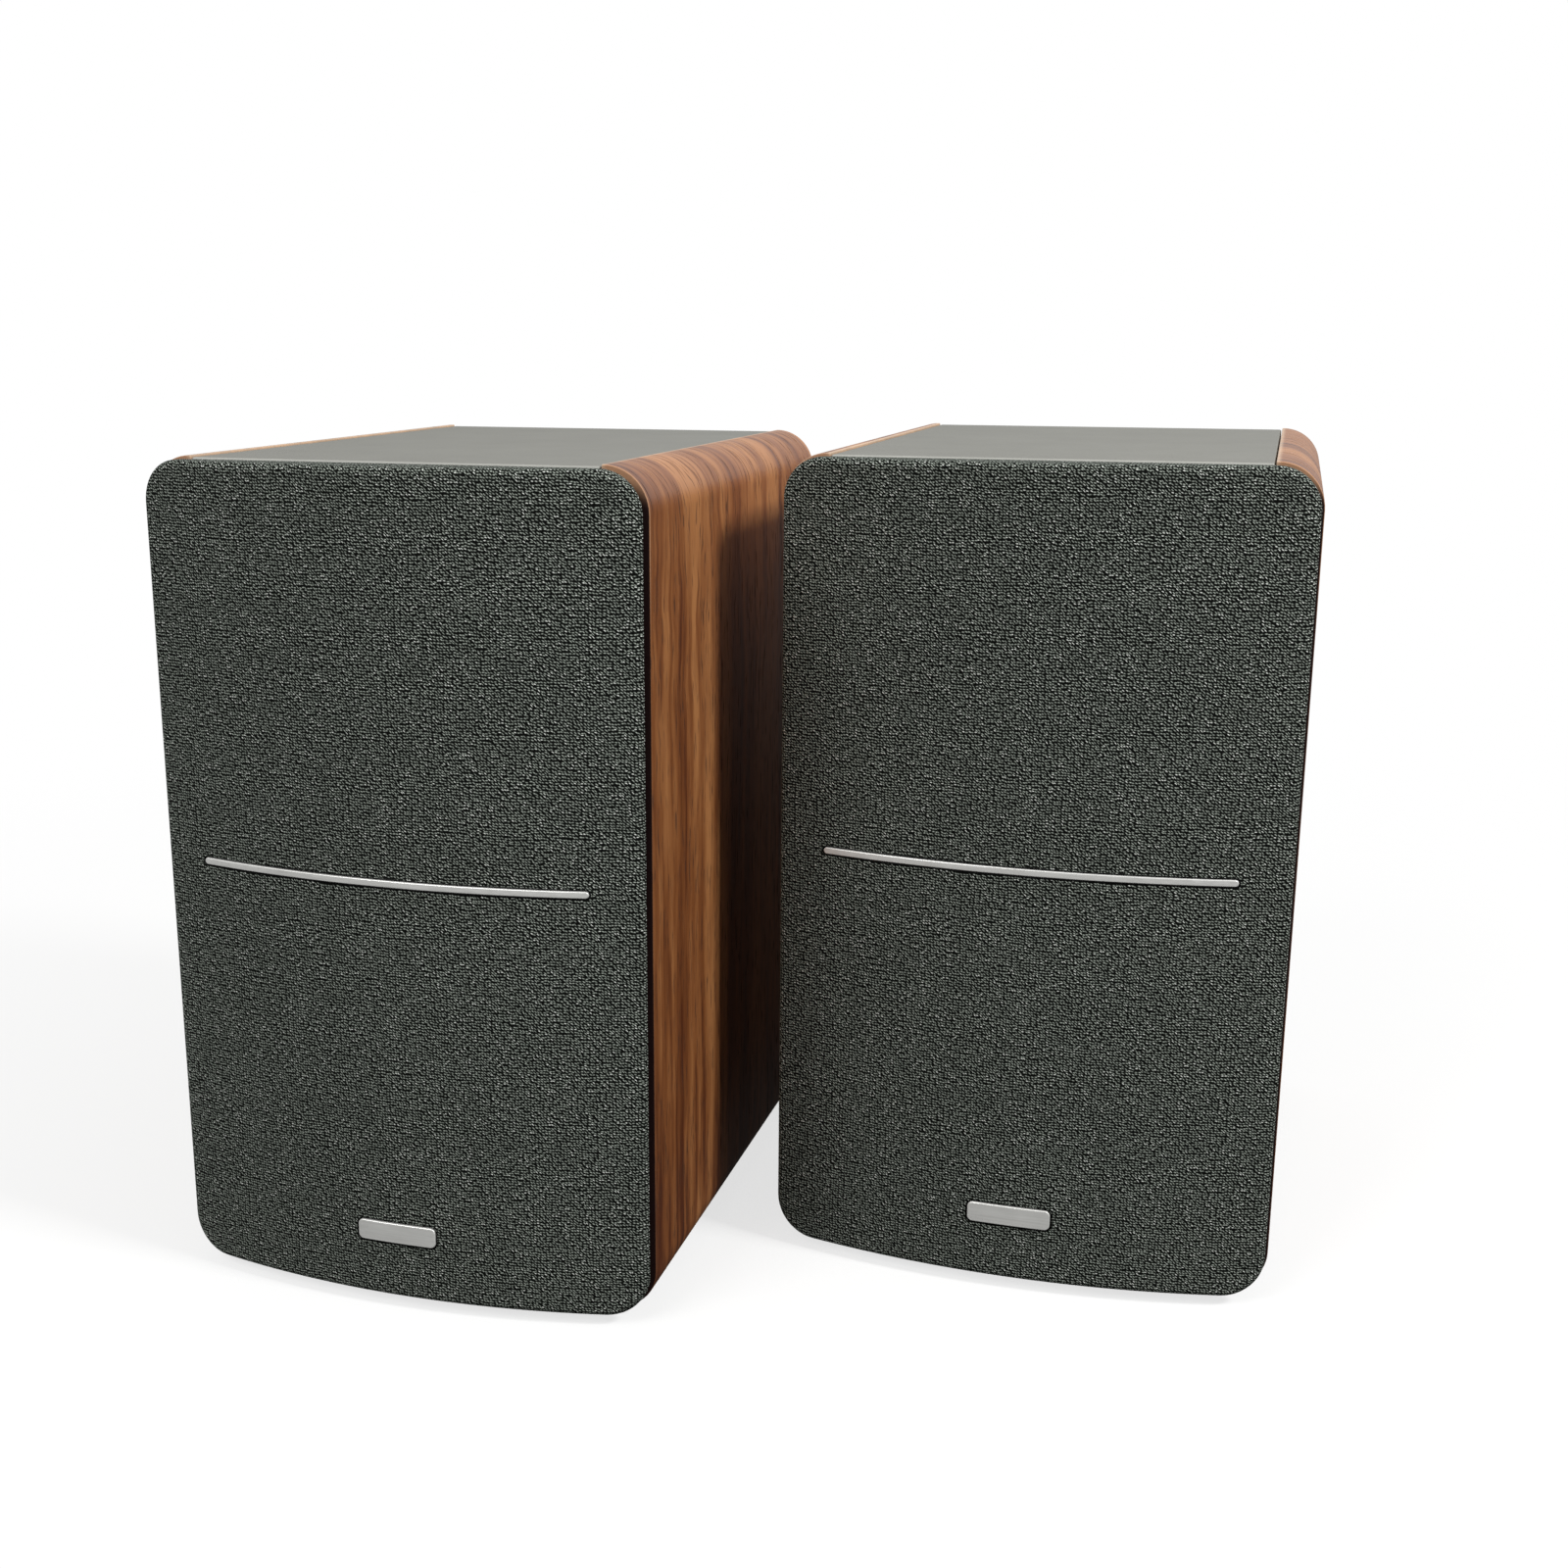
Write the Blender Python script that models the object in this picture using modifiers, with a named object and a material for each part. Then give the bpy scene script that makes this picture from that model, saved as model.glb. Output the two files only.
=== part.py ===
"""A pair of two-way desktop speakers: a passive left cabinet and a powered right one.

Each cabinet is a box of six panels with a bowed, cloth-covered grille on its front. Behind the grille are
a woofer, a tweeter and a bass port. The right cabinet also holds the amplifier, with its knobs sunk in the
right side and its sockets on the back. Units are metres, +Z is up and the fronts face -Y. Each speaker is
drawn around a point on the floor below the middle of its front edge.
"""

import math

import bmesh
import bpy
from mathutils import Matrix, Vector

# Cabinet
CABINET_WIDTH = 0.146
CABINET_HEIGHT = 0.238
CABINET_DEPTH = 0.172
SIDE_THICKNESS = 0.013
SIDE_ROUNDING = 0.0125
TOP_THICKNESS = 0.012
BOTTOM_THICKNESS = 0.012
BACK_THICKNESS = 0.012
BAFFLE_THICKNESS = 0.015
BAFFLE_RECESS = 0.006
SEAM = 0.0003

# Rubber feet, one strip at the front and one at the rear of each cabinet
FOOT_HEIGHT = 0.0025
FOOT_WIDTH = 0.012
FOOT_SIDE_MARGIN = 0.014
FOOT_END_MARGIN = 0.012

# Where the right cabinet stands from the left one
PAIR_SPACING = 0.1654
PAIR_STAGGER = 0.0614

# Grille
GRILLE_INSET = 0.00075
GRILLE_STANDOFF = 0.0026
GRILLE_EDGE = 0.0028
GRILLE_BOW = 0.0098
CLOTH_THICKNESS = 0.0007
FRAME_RIM = 0.010
FRAME_CROSSBAR = 0.010
PEG_RADIUS = 0.0025
PEG_ENGAGEMENT = 0.008
PEG_END_GAP = 0.0005
PEG_EDGE = 0.0065
PEG_WEB = 0.002
TRIM_END_MARGIN = 0.01425
TRIM_HEIGHT = 0.0023
TRIM_RISE = 0.1251
TRIM_PROUD = 0.0003

# Woofer, with its heights counted forwards from the flange's seat
WOOFER_MARGIN = 0.0037
WOOFER_REBATE = 0.0025
FLANGE_WIDTH = 0.0085
FLANGE_THICKNESS = 0.003
BASKET_WALL = 0.002
BASKET_COLLAR = 0.006
BASKET_TAPER = 0.0095
BASKET_DEPTH = 0.0335
BASKET_HOLE_CLEARANCE = 0.0045
BASKET_WINDOWS = 6
WINDOW_WIDTH = 0.024
WINDOW_MARGIN = 0.0015
SPIDER_DEPTH = 0.0255
SPIDER_LAND = 0.005
SPIDER_WAVES = 2
SPIDER_WAVE_HEIGHT = 0.0014
SPIDER_THICKNESS = 0.0008
ROLL_WIDTH = 0.008
ROLL_HEIGHT = 0.0042
ROLL_STEPS = 4
RUBBER_THICKNESS = 0.0008
SURROUND_LAND = 0.004
CONE_LIP = 0.003
CONE_DEPTH = 0.018
CONE_THICKNESS = 0.001
CONE_NECK = 0.003
CAP_HEIGHT = 0.006
CAP_STEPS = 3
FORMER_INNER_RADIUS = 0.0128
FORMER_WALL = 0.0004
WINDING_WALL = 0.0003
WINDING_OVERHANG = 0.0015
VOICE_GAP = 0.0004
PLATE_RADIUS = 0.034
PLATE_THICKNESS = 0.005
MAGNET_RADIUS = 0.038
MAGNET_BORE = 0.020
MAGNET_THICKNESS = 0.013
YOKE_THICKNESS = 0.005

# Tweeter
DRIVER_GAP = 0.004
TWEETER_RADIUS = 0.025
TWEETER_REBATE = 0.0025
TWEETER_THICKNESS = 0.003
TWEETER_COLLAR_RADIUS = 0.018
TWEETER_COLLAR_DEPTH = 0.003
TWEETER_MOUTH_MARGIN = 0.003
TWEETER_THROAT_RISE = 0.002
DOME_RADIUS = 0.0095
DOME_HEIGHT = 0.004
DOME_RIM = 0.0022
DOME_THICKNESS = 0.0008
DOME_STEPS = 3
TWEETER_MAGNET_RADIUS = 0.0175
TWEETER_MAGNET_DEPTH = 0.016
TWEETER_MAGNET_CHAMFER = 0.0015

# Bass port
PORT_RADIUS = 0.009
PORT_WALL = 0.0015
PORT_FLANGE = 0.0015
PORT_FLANGE_THICKNESS = 0.002
PORT_LENGTH = 0.080
PORT_TOP_MARGIN = 0.005
PORT_SIDE_MARGIN = 0.0117

# Spring terminals on the back
CUP_WIDTH = 0.050
CUP_HEIGHT = 0.032
CUP_FLANGE = 0.0022
CUP_OVERLAP = 0.004
CUP_DEPTH = 0.0150
POCKET_WIDTH = 0.0125
POCKET_DOWN = 0.0105
POCKET_DEPTH = 0.0125
LEVER_SPACING = 0.021
LEVER_SIDE_GAP = 0.0004
LEVER_TOP_GAP = 0.0006
LEVER_HINGE_RISE = 0.0063
LEVER_HINGE_DEPTH = 0.0045
LEVER_BARREL = 0.0024
LEVER_SHOULDER = (0.0050, 0.0016)
LEVER_HEEL = (0.0018, -0.0020)
LEVER_TOE = (0.0066, -0.0105)
LEVER_TIP = (0.0088, -0.0095)
LEVER_BARREL_END = 300.0
LEVER_BARREL_STEPS = 6

# Amplifier plate and its sockets on the back of the right cabinet
AMP_SIDE_MARGIN = 0.009
AMP_END_MARGIN = 0.012
AMP_THICKNESS = 0.002
SOCKET_MARGIN = 0.012
JACK_SIZE = 0.036
JACK_FLANGE = 0.0018
JACK_OVERLAP = 0.003
JACK_DEPTH = 0.012
JACK_SPACING = 0.015
JACK_RADIUS = 0.0042
JACK_LENGTH = 0.0085
JACK_HOLE_RADIUS = 0.0018
JACK_HOLE_DEPTH = 0.0090
INLET_WIDTH = 0.050
INLET_HEIGHT = 0.030
INLET_FLANGE = 0.002
INLET_OVERLAP = 0.003
INLET_DEPTH = 0.018
INLET_OFFSET = 0.0115
INLET_RECESS_WIDTH = 0.017
INLET_RECESS_HEIGHT = 0.009
INLET_RECESS_DEPTH = 0.012
INLET_PIN_RADIUS = 0.0012
INLET_PIN_SPACING = 0.0086
INLET_PIN_LENGTH = 0.009
ROCKER_OFFSET = 0.0125
ROCKER_WIDTH = 0.011
ROCKER_ARC_RADIUS = 0.0097
ROCKER_SINK = 0.003
ROCKER_MIDDLE = 0.004
ROCKER_END = 0.0055
ROCKER_BACK = 0.0015
ROCKER_TILT = 9.0
ROCKER_GAP = 0.0004
ROCKER_WELL_DEPTH = 0.012
ROCKER_ARC_STEPS = 4

# Circuit boards and transformer
BOARD_THICKNESS = 0.0016
BOARD_BOSS_RADIUS = 0.003
BOARD_BOSS_INSET = 0.005
AMP_BOARD_WIDTH = 0.080
AMP_BOARD_HEIGHT = 0.090
AMP_BOARD_RISE = 0.028
AMP_BOSS_LENGTH = 0.014
HEAT_SINK = (0.040, 0.016, 0.022)
CAPACITOR_RADIUS = 0.008
CAPACITOR_LENGTH = 0.020
CAPACITOR_SPACING = 0.030
CROSSOVER_WIDTH = 0.044
CROSSOVER_HEIGHT = 0.036
CROSSOVER_BOSS_LENGTH = 0.004
CROSSOVER_DROP = 0.012
FILTER_CAP_RADIUS = 0.006
FILTER_CAP_LENGTH = 0.016
FILTER_CAP_SPACING = 0.018
TRANSFORMER_SETBACK = 0.040
TRANSFORMER_BASE = (0.058, 0.030, 0.002)
TRANSFORMER_CORE = (0.042, 0.024, 0.036)
TRANSFORMER_BOBBIN = (0.026, 0.042, 0.024)

# Controls sunk in the right side of the right cabinet
KNOB_RADIUS = 0.0085
KNOB_HEIGHT = 0.009
KNOB_ROUNDING = 0.001
KNOB_TAPER = 0.0005
KNOB_PITCH = 0.029
KNOB_LIFT = 0.0006
KNOB_BORE_DEPTH = 0.006
DISH_FINGER_ROOM = 0.005
DISH_DEPTH = 0.0105
DISH_WALL = 0.0015
DISH_FLANGE = 0.0035
DISH_FLANGE_THICKNESS = 0.0015
SHAFT_RADIUS = 0.0029
SHAFT_CLEARANCE = 0.0004
SHAFT_END_GAP = 0.0004
POT_RADIUS_OUTER = 0.0075
POT_DEPTH = 0.007
CONTROL_BOARD_MARGIN = 0.0025
CONTROL_SETBACK = 0.0155
CONTROL_RISE = 0.148

# How finely round shapes are drawn, and how far a cutter runs past what it cuts
ROUND_STEPS = 24
SMALL_STEPS = 16
CORNER_STEPS = 6
BOW_STEPS = 140
OVERSHOOT = 0.004
BITE = 0.0003
WELD = 0.000001
MERGE = 0.00001

# Places worked out from the sizes above
INNER_HALF_WIDTH = CABINET_WIDTH / 2 - SIDE_THICKNESS - SEAM
FLOOR_Z = FOOT_HEIGHT
TOP_Z = FLOOR_Z + CABINET_HEIGHT
SIDE_CORNER = min(SIDE_ROUNDING, SIDE_THICKNESS - SEAM)
BAFFLE_BOTTOM = FLOOR_Z + BOTTOM_THICKNESS + SEAM
BAFFLE_TOP = TOP_Z - TOP_THICKNESS - SEAM
BAFFLE_MIDDLE = (BAFFLE_BOTTOM + BAFFLE_TOP) / 2
BAFFLE_BACK = BAFFLE_RECESS + BAFFLE_THICKNESS
BACK_INSIDE = CABINET_DEPTH - BACK_THICKNESS

GRILLE_HALF_WIDTH = CABINET_WIDTH / 2 - GRILLE_INSET
GRILLE_HEIGHT = CABINET_HEIGHT - 2 * GRILLE_INSET
GRILLE_MIDDLE = FLOOR_Z + CABINET_HEIGHT / 2
GRILLE_CORNER = SIDE_CORNER - GRILLE_INSET
GRILLE_FRONT = GRILLE_STANDOFF + GRILLE_EDGE + GRILLE_BOW
BOW_RADIUS = (GRILLE_HALF_WIDTH**2 + GRILLE_BOW**2) / (2 * GRILLE_BOW)
FRAME_INSET = CLOTH_THICKNESS + SEAM
TRIM_Z = FLOOR_Z + TRIM_RISE
TRIM_LENGTH = 2 * (GRILLE_HALF_WIDTH - TRIM_END_MARGIN)
PEG_X = INNER_HALF_WIDTH - PEG_EDGE
PEG_HEIGHTS = (BAFFLE_BOTTOM + PEG_EDGE, BAFFLE_TOP - PEG_EDGE)

FLANGE_RADIUS = INNER_HALF_WIDTH - WOOFER_MARGIN
BASKET_RADIUS = FLANGE_RADIUS - FLANGE_WIDTH
BASKET_BORE = BASKET_RADIUS - BASKET_WALL
BASKET_POT = BASKET_RADIUS - BASKET_TAPER
CONE_RADIUS = BASKET_BORE - ROLL_WIDTH
CONE_BACK = FLANGE_THICKNESS - CONE_DEPTH
FORMER_RADIUS = FORMER_INNER_RADIUS + FORMER_WALL
WINDING_RADIUS = FORMER_RADIUS + WINDING_WALL
PLATE_FRONT = -(BASKET_DEPTH + SEAM)
PLATE_BACK = PLATE_FRONT - PLATE_THICKNESS
YOKE_FRONT = PLATE_BACK - MAGNET_THICKNESS
WOOFER_SEAT_Y = BAFFLE_RECESS + WOOFER_REBATE - SEAM
WOOFER_Z = BAFFLE_BOTTOM + WOOFER_MARGIN + FLANGE_RADIUS

TWEETER_SEAT_Y = BAFFLE_RECESS + TWEETER_REBATE - SEAM
TWEETER_Z = WOOFER_Z + FLANGE_RADIUS + DRIVER_GAP + TWEETER_RADIUS
TWEETER_BORE = DOME_RADIUS + DOME_RIM + SEAM

PORT_TUBE_RADIUS = PORT_RADIUS + PORT_WALL
PORT_FLANGE_RADIUS = PORT_TUBE_RADIUS + PORT_FLANGE
PORT_X = INNER_HALF_WIDTH - PORT_SIDE_MARGIN - PORT_FLANGE_RADIUS
PORT_Z = BAFFLE_TOP - PORT_TOP_MARGIN - PORT_FLANGE_RADIUS

AMP_HALF_WIDTH = INNER_HALF_WIDTH - AMP_SIDE_MARGIN
AMP_BOTTOM = BAFFLE_BOTTOM + AMP_END_MARGIN
AMP_TOP = BAFFLE_TOP - AMP_END_MARGIN
AMP_FACE = CABINET_DEPTH + SEAM + AMP_THICKNESS
JACK_Z = AMP_TOP - SOCKET_MARGIN - JACK_SIZE / 2
INLET_Z = AMP_BOTTOM + SOCKET_MARGIN + INLET_HEIGHT / 2
CUP_Z = (JACK_Z + INLET_Z) / 2
CUP_BODY = (CUP_WIDTH - 2 * CUP_OVERLAP, CUP_HEIGHT - 2 * CUP_OVERLAP)
JACK_BODY = (JACK_SIZE - 2 * JACK_OVERLAP, JACK_SIZE - 2 * JACK_OVERLAP)
INLET_BODY = (INLET_WIDTH - 2 * INLET_OVERLAP, INLET_HEIGHT - 2 * INLET_OVERLAP)
REAR_REACH = SEAM + AMP_THICKNESS + SEAM + JACK_FLANGE + JACK_LENGTH

CONTROL_Y = BAFFLE_BACK + CONTROL_SETBACK
CONTROL_Z = FLOOR_Z + CONTROL_RISE
CONTROL_FACE = CABINET_WIDTH / 2
DISH_HALF_WIDTH = KNOB_RADIUS + DISH_FINGER_ROOM
DISH_FLOOR = CONTROL_FACE - DISH_DEPTH
DISH_BACK = DISH_FLOOR - DISH_WALL
KNOB_HEIGHTS = {"bass": -KNOB_PITCH, "treble": 0.0, "volume": KNOB_PITCH}

# Which way a shape's own +Z points: to the listener, or out of the right side lying down or upright
FRONT = (math.pi / 2, 0.0, 0.0)
RIGHT = (0.0, math.pi / 2, 0.0)
SIDE_VIEW = (math.pi / 2, 0.0, math.pi / 2)
STILL = (0.0, 0.0, 0.0)

# Colour, roughness and metallic value of each finish
FINISHES = {
    "walnut_veneer": ((0.33, 0.14, 0.05), 0.42, 0.0),
    "grey_vinyl": ((0.30, 0.30, 0.28), 0.55, 0.0),
    "black_board": ((0.02, 0.02, 0.02), 0.60, 0.0),
    "black_plastic": ((0.03, 0.03, 0.03), 0.45, 0.0),
    "grille_cloth": ((0.06, 0.065, 0.06), 0.85, 0.0),
    "satin_metal": ((0.75, 0.75, 0.74), 0.30, 1.0),
    "painted_steel": ((0.05, 0.05, 0.05), 0.50, 0.6),
    "ferrite": ((0.07, 0.07, 0.075), 0.60, 0.2),
    "paper": ((0.045, 0.045, 0.048), 0.70, 0.0),
    "rubber": ((0.02, 0.02, 0.02), 0.65, 0.0),
    "copper": ((0.65, 0.30, 0.16), 0.35, 1.0),
    "woven_spider": ((0.55, 0.38, 0.14), 0.80, 0.0),
    "silk": ((0.08, 0.08, 0.085), 0.50, 0.0),
    "circuit_board": ((0.03, 0.16, 0.07), 0.45, 0.0),
    "core_steel": ((0.30, 0.30, 0.31), 0.45, 0.8),
    "red_plastic": ((0.50, 0.02, 0.02), 0.35, 0.0),
}


class Speaker:
    """One cabinet of the pair: its name, the side that faces outwards (-1 left, 1 right) and its place."""

    def __init__(self, name, outer, origin):
        self.name = name
        self.outer = outer
        self.powered = outer > 0
        self.empty = bpy.data.objects.new(f"{name}_speaker", None)
        self.empty.location = origin
        bpy.context.scene.collection.objects.link(self.empty)


def clear_scene():
    for obj in list(bpy.data.objects):
        bpy.data.objects.remove(obj)


def collection(name):
    group = bpy.data.collections.get(name)
    if group is None:
        group = bpy.data.collections.new(name)
        bpy.context.scene.collection.children.link(group)
    return group


def material(name):
    found = bpy.data.materials.get(name)
    if found:
        return found
    colour, roughness, metallic = FINISHES[name]
    made = bpy.data.materials.new(name)
    made.use_nodes = True
    shader = made.node_tree.nodes["Principled BSDF"]
    shader.inputs["Base Color"].default_value = (*colour, 1.0)
    shader.inputs["Roughness"].default_value = roughness
    shader.inputs["Metallic"].default_value = metallic
    return made


def place_object(speaker, name, mesh, place, turn, group):
    obj = bpy.data.objects.new(f"{speaker.name}_{name}", mesh)
    obj.parent = speaker.empty
    obj.location = place
    obj.rotation_euler = turn
    collection(group).objects.link(obj)
    return obj


def add_part(speaker, name, mesh, finish, place=STILL, turn=STILL):
    """A visible piece of the speaker, in its own finish."""
    obj = place_object(speaker, name, mesh, place, turn, "desktop_speakers")
    mesh.materials.append(material(finish))
    return obj


def add_helper(speaker, name, mesh, place=STILL, turn=STILL):
    """A shape that only cuts another one or is joined to it."""
    obj = place_object(speaker, name, mesh, place, turn, "cutters")
    obj.hide_render = True
    obj.display_type = "WIRE"
    return obj


def combine(target, other, operation):
    change = target.modifiers.new(f"{operation.lower()} {other.name}", "BOOLEAN")
    change.operation = operation
    change.solver = "EXACT"
    change.object = other


def rounded_rectangle(width, height, radii, centre=(0.0, 0.0)):
    """The outline of a rectangle, anticlockwise from its lower right corner, with one radius per corner."""
    corners = ((1, -1), (1, 1), (-1, 1), (-1, -1))
    outline = []
    for number, ((right, up), radius) in enumerate(zip(corners, radii)):
        middle = Vector((right * (width / 2 - radius), up * (height / 2 - radius))) + Vector(centre)
        steps = CORNER_STEPS if radius else 0
        for step in range(steps + 1):
            angle = (number - 1 + step / max(steps, 1)) * math.pi / 2
            point = middle + radius * Vector((math.cos(angle), math.sin(angle)))
            if not outline or (point - outline[-1]).length > WELD:
                outline.append(point)
    if (outline[0] - outline[-1]).length < WELD:
        outline.pop()
    return outline


def rectangle(width, height, centre=(0.0, 0.0)):
    return rounded_rectangle(width, height, (0.0, 0.0, 0.0, 0.0), centre)


def obround(width, height, centre=(0.0, 0.0)):
    return rounded_rectangle(width, height, [min(width, height) / 2] * 4, centre)


def extruded(name, outline, depth, holes=()):
    """A flat outline with holes, given its thickness evenly on both sides of its own XY plane."""
    curve = bpy.data.curves.new(name, "CURVE")
    curve.dimensions = "2D"
    curve.fill_mode = "BOTH"
    curve.extrude = depth / 2
    for loop in (outline, *holes):
        spline = curve.splines.new("POLY")
        spline.points.add(len(loop) - 1)
        for point, (x, y) in zip(spline.points, loop):
            point.co = (x, y, 0.0, 1.0)
        spline.use_cyclic_u = True
    drawn = bpy.data.objects.new(name, curve)
    bpy.context.scene.collection.objects.link(drawn)
    graph = bpy.context.evaluated_depsgraph_get()
    mesh = bpy.data.meshes.new_from_object(drawn.evaluated_get(graph))
    bpy.data.objects.remove(drawn)
    bpy.data.curves.remove(curve)
    work = bmesh.new()
    work.from_mesh(mesh)
    bmesh.ops.remove_doubles(work, verts=work.verts, dist=WELD)
    bmesh.ops.recalc_face_normals(work, faces=work.faces)
    work.to_mesh(mesh)
    work.free()
    mesh.materials.clear()
    return mesh


def shapes(name, blocks=(), rods=(), steps=SMALL_STEPS):
    """Boxes, given by two corners, and round bars, given by two ends and a radius, in one mesh."""
    work = bmesh.new()
    for low, high in blocks:
        low = Vector(low)
        high = Vector(high)
        size = Matrix.Diagonal((*(high - low), 1.0))
        bmesh.ops.create_cube(work, size=1.0, matrix=Matrix.Translation((low + high) / 2) @ size)
    for start, end, radius in rods:
        start = Vector(start)
        end = Vector(end)
        turn = (end - start).to_track_quat("Z", "Y").to_matrix().to_4x4()
        bmesh.ops.create_cone(
            work,
            cap_ends=True,
            segments=steps,
            radius1=radius,
            radius2=radius,
            depth=(end - start).length,
            matrix=Matrix.Translation((start + end) / 2) @ turn,
        )
    mesh = bpy.data.meshes.new(name)
    work.to_mesh(mesh)
    work.free()
    return mesh


def block(middle_x, middle_z, width, height, front, back):
    """Two corners of a box that stands between two depths."""
    low = (middle_x - width / 2, front, middle_z - height / 2)
    high = (middle_x + width / 2, back, middle_z + height / 2)
    return low, high


def profile_mesh(name, profile, closed):
    count = len(profile)
    edges = [(number, number + 1) for number in range(count - 1)]
    if closed:
        edges.append((count - 1, 0))
    mesh = bpy.data.meshes.new(name)
    mesh.from_pydata([(radius, 0.0, height) for radius, height in profile], edges, [])
    return mesh


def turn_profile(obj, steps=ROUND_STEPS):
    """Spins an object's profile round its own Z axis."""
    screw = obj.modifiers.new("turned", "SCREW")
    screw.axis = "Z"
    screw.angle = 2 * math.pi
    screw.steps = steps
    screw.render_steps = steps
    screw.use_merge_vertices = True
    screw.merge_threshold = MERGE
    screw.use_smooth_shade = True
    return obj


def turned_part(speaker, name, profile, finish, place, turn=FRONT, closed=False, steps=ROUND_STEPS):
    mesh = profile_mesh(name, profile, closed)
    return turn_profile(add_part(speaker, name, mesh, finish, place, turn), steps)


def turned_helper(speaker, name, profile, place, steps=ROUND_STEPS):
    mesh = profile_mesh(name, profile, False)
    return turn_profile(add_helper(speaker, name, mesh, place, FRONT), steps)


def arc_points(radius, height, base, steps):
    """A quarter of an ellipse from the axis down to its rim, as (radius, height) points."""
    angles = [step / steps * math.pi / 2 for step in range(steps + 1)]
    return [(radius * math.sin(angle), base + height * math.cos(angle)) for angle in angles]


# Cabinet panels and feet


def side_panel(speaker, name, side):
    """A thick veneered side whose outer long edges are rounded to its full thickness."""
    right_corner = SIDE_CORNER if side > 0 else 0.0
    left_corner = SIDE_CORNER if side < 0 else 0.0
    radii = (right_corner, right_corner, left_corner, left_corner)
    outline = rounded_rectangle(SIDE_THICKNESS, CABINET_HEIGHT, radii)
    middle_x = side * (CABINET_WIDTH - SIDE_THICKNESS) / 2
    place = (middle_x, CABINET_DEPTH / 2, GRILLE_MIDDLE)
    return add_part(speaker, name, extruded(name, outline, CABINET_DEPTH), "walnut_veneer", place, FRONT)


def flat_panels(speaker):
    for name, bottom, top in (
        ("top_panel", TOP_Z - TOP_THICKNESS, TOP_Z),
        ("bottom_panel", FLOOR_Z, FLOOR_Z + BOTTOM_THICKNESS),
    ):
        corners = block(0.0, (bottom + top) / 2, 2 * INNER_HALF_WIDTH, top - bottom, 0.0, CABINET_DEPTH)
        add_part(speaker, name, shapes(name, [corners]), "grey_vinyl")


def back_panel(speaker):
    outline = rectangle(2 * INNER_HALF_WIDTH, BAFFLE_TOP - BAFFLE_BOTTOM)
    mesh = extruded("back_panel", outline, BACK_THICKNESS, back_holes(speaker, BAFFLE_MIDDLE))
    place = (0.0, CABINET_DEPTH - BACK_THICKNESS / 2, BAFFLE_MIDDLE)
    add_part(speaker, "back_panel", mesh, "black_board", place, FRONT)


def back_holes(speaker, middle_z):
    """The cut-outs that the fittings on the back pass through, counted from a panel's own middle."""
    fittings = [(CUP_BODY, CUP_Z)]
    if speaker.powered:
        fittings += [(JACK_BODY, JACK_Z), (INLET_BODY, INLET_Z)]
    return [
        rectangle(width + 2 * SEAM, height + 2 * SEAM, (0.0, z - middle_z))
        for (width, height), z in fittings
    ]


def front_baffle(speaker):
    corners = block(
        0.0, BAFFLE_MIDDLE, 2 * INNER_HALF_WIDTH, BAFFLE_TOP - BAFFLE_BOTTOM, BAFFLE_RECESS, BAFFLE_BACK
    )
    baffle = add_part(speaker, "front_baffle", shapes("front_baffle", [corners]), "black_board")
    deep = -(BAFFLE_THICKNESS + OVERSHOOT)
    drivers = (
        ("woofer_hole", FLANGE_RADIUS, WOOFER_REBATE, BASKET_RADIUS, WOOFER_Z),
        ("tweeter_hole", TWEETER_RADIUS, TWEETER_REBATE, TWEETER_COLLAR_RADIUS, TWEETER_Z),
    )
    for name, wide, rebate, narrow, z in drivers:
        profile = [
            (0.0, OVERSHOOT),
            (wide + SEAM, OVERSHOOT),
            (wide + SEAM, -rebate),
            (narrow + SEAM, -rebate),
            (narrow + SEAM, deep),
            (0.0, deep),
        ]
        combine(baffle, turned_helper(speaker, name, profile, (0.0, BAFFLE_RECESS, z)), "DIFFERENCE")
    port_radius = PORT_TUBE_RADIUS + SEAM
    port = [(0.0, OVERSHOOT), (port_radius, OVERSHOOT), (port_radius, deep), (0.0, deep)]
    port_place = (-speaker.outer * PORT_X, BAFFLE_RECESS, PORT_Z)
    combine(baffle, turned_helper(speaker, "port_hole", port, port_place), "DIFFERENCE")
    holes = peg_rods(BAFFLE_RECESS - OVERSHOOT, PEG_ENGAGEMENT + PEG_END_GAP, PEG_RADIUS + SEAM)
    combine(baffle, add_helper(speaker, "peg_holes", shapes("peg_holes", rods=holes)), "DIFFERENCE")


def peg_rods(start_y, engagement, radius):
    """The four corner pegs, or their holes, from a depth into the baffle's front."""
    end_y = BAFFLE_RECESS + engagement
    return [((x, start_y, z), (x, end_y, z), radius) for x in (-PEG_X, PEG_X) for z in PEG_HEIGHTS]


def feet(speaker):
    length = 2 * (INNER_HALF_WIDTH - FOOT_SIDE_MARGIN)
    thickness = FOOT_HEIGHT - SEAM
    for name, middle_y in (
        ("front_foot", FOOT_END_MARGIN + FOOT_WIDTH / 2),
        ("rear_foot", CABINET_DEPTH - FOOT_END_MARGIN - FOOT_WIDTH / 2),
    ):
        mesh = extruded(name, obround(length, FOOT_WIDTH), thickness)
        add_part(speaker, name, mesh, "rubber", (0.0, middle_y, thickness / 2))


# Grille


def bow_cylinder(speaker, name, inset):
    """The large upright cylinder whose front is the grille's bow, drawn in by an inset."""
    axis_y = BOW_RADIUS - GRILLE_FRONT
    bottom = (0.0, axis_y, FLOOR_Z - OVERSHOOT)
    top = (0.0, axis_y, TOP_Z + OVERSHOOT)
    mesh = shapes(name, rods=[(bottom, top, BOW_RADIUS - inset)], steps=BOW_STEPS)
    return add_helper(speaker, name, mesh)


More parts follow.
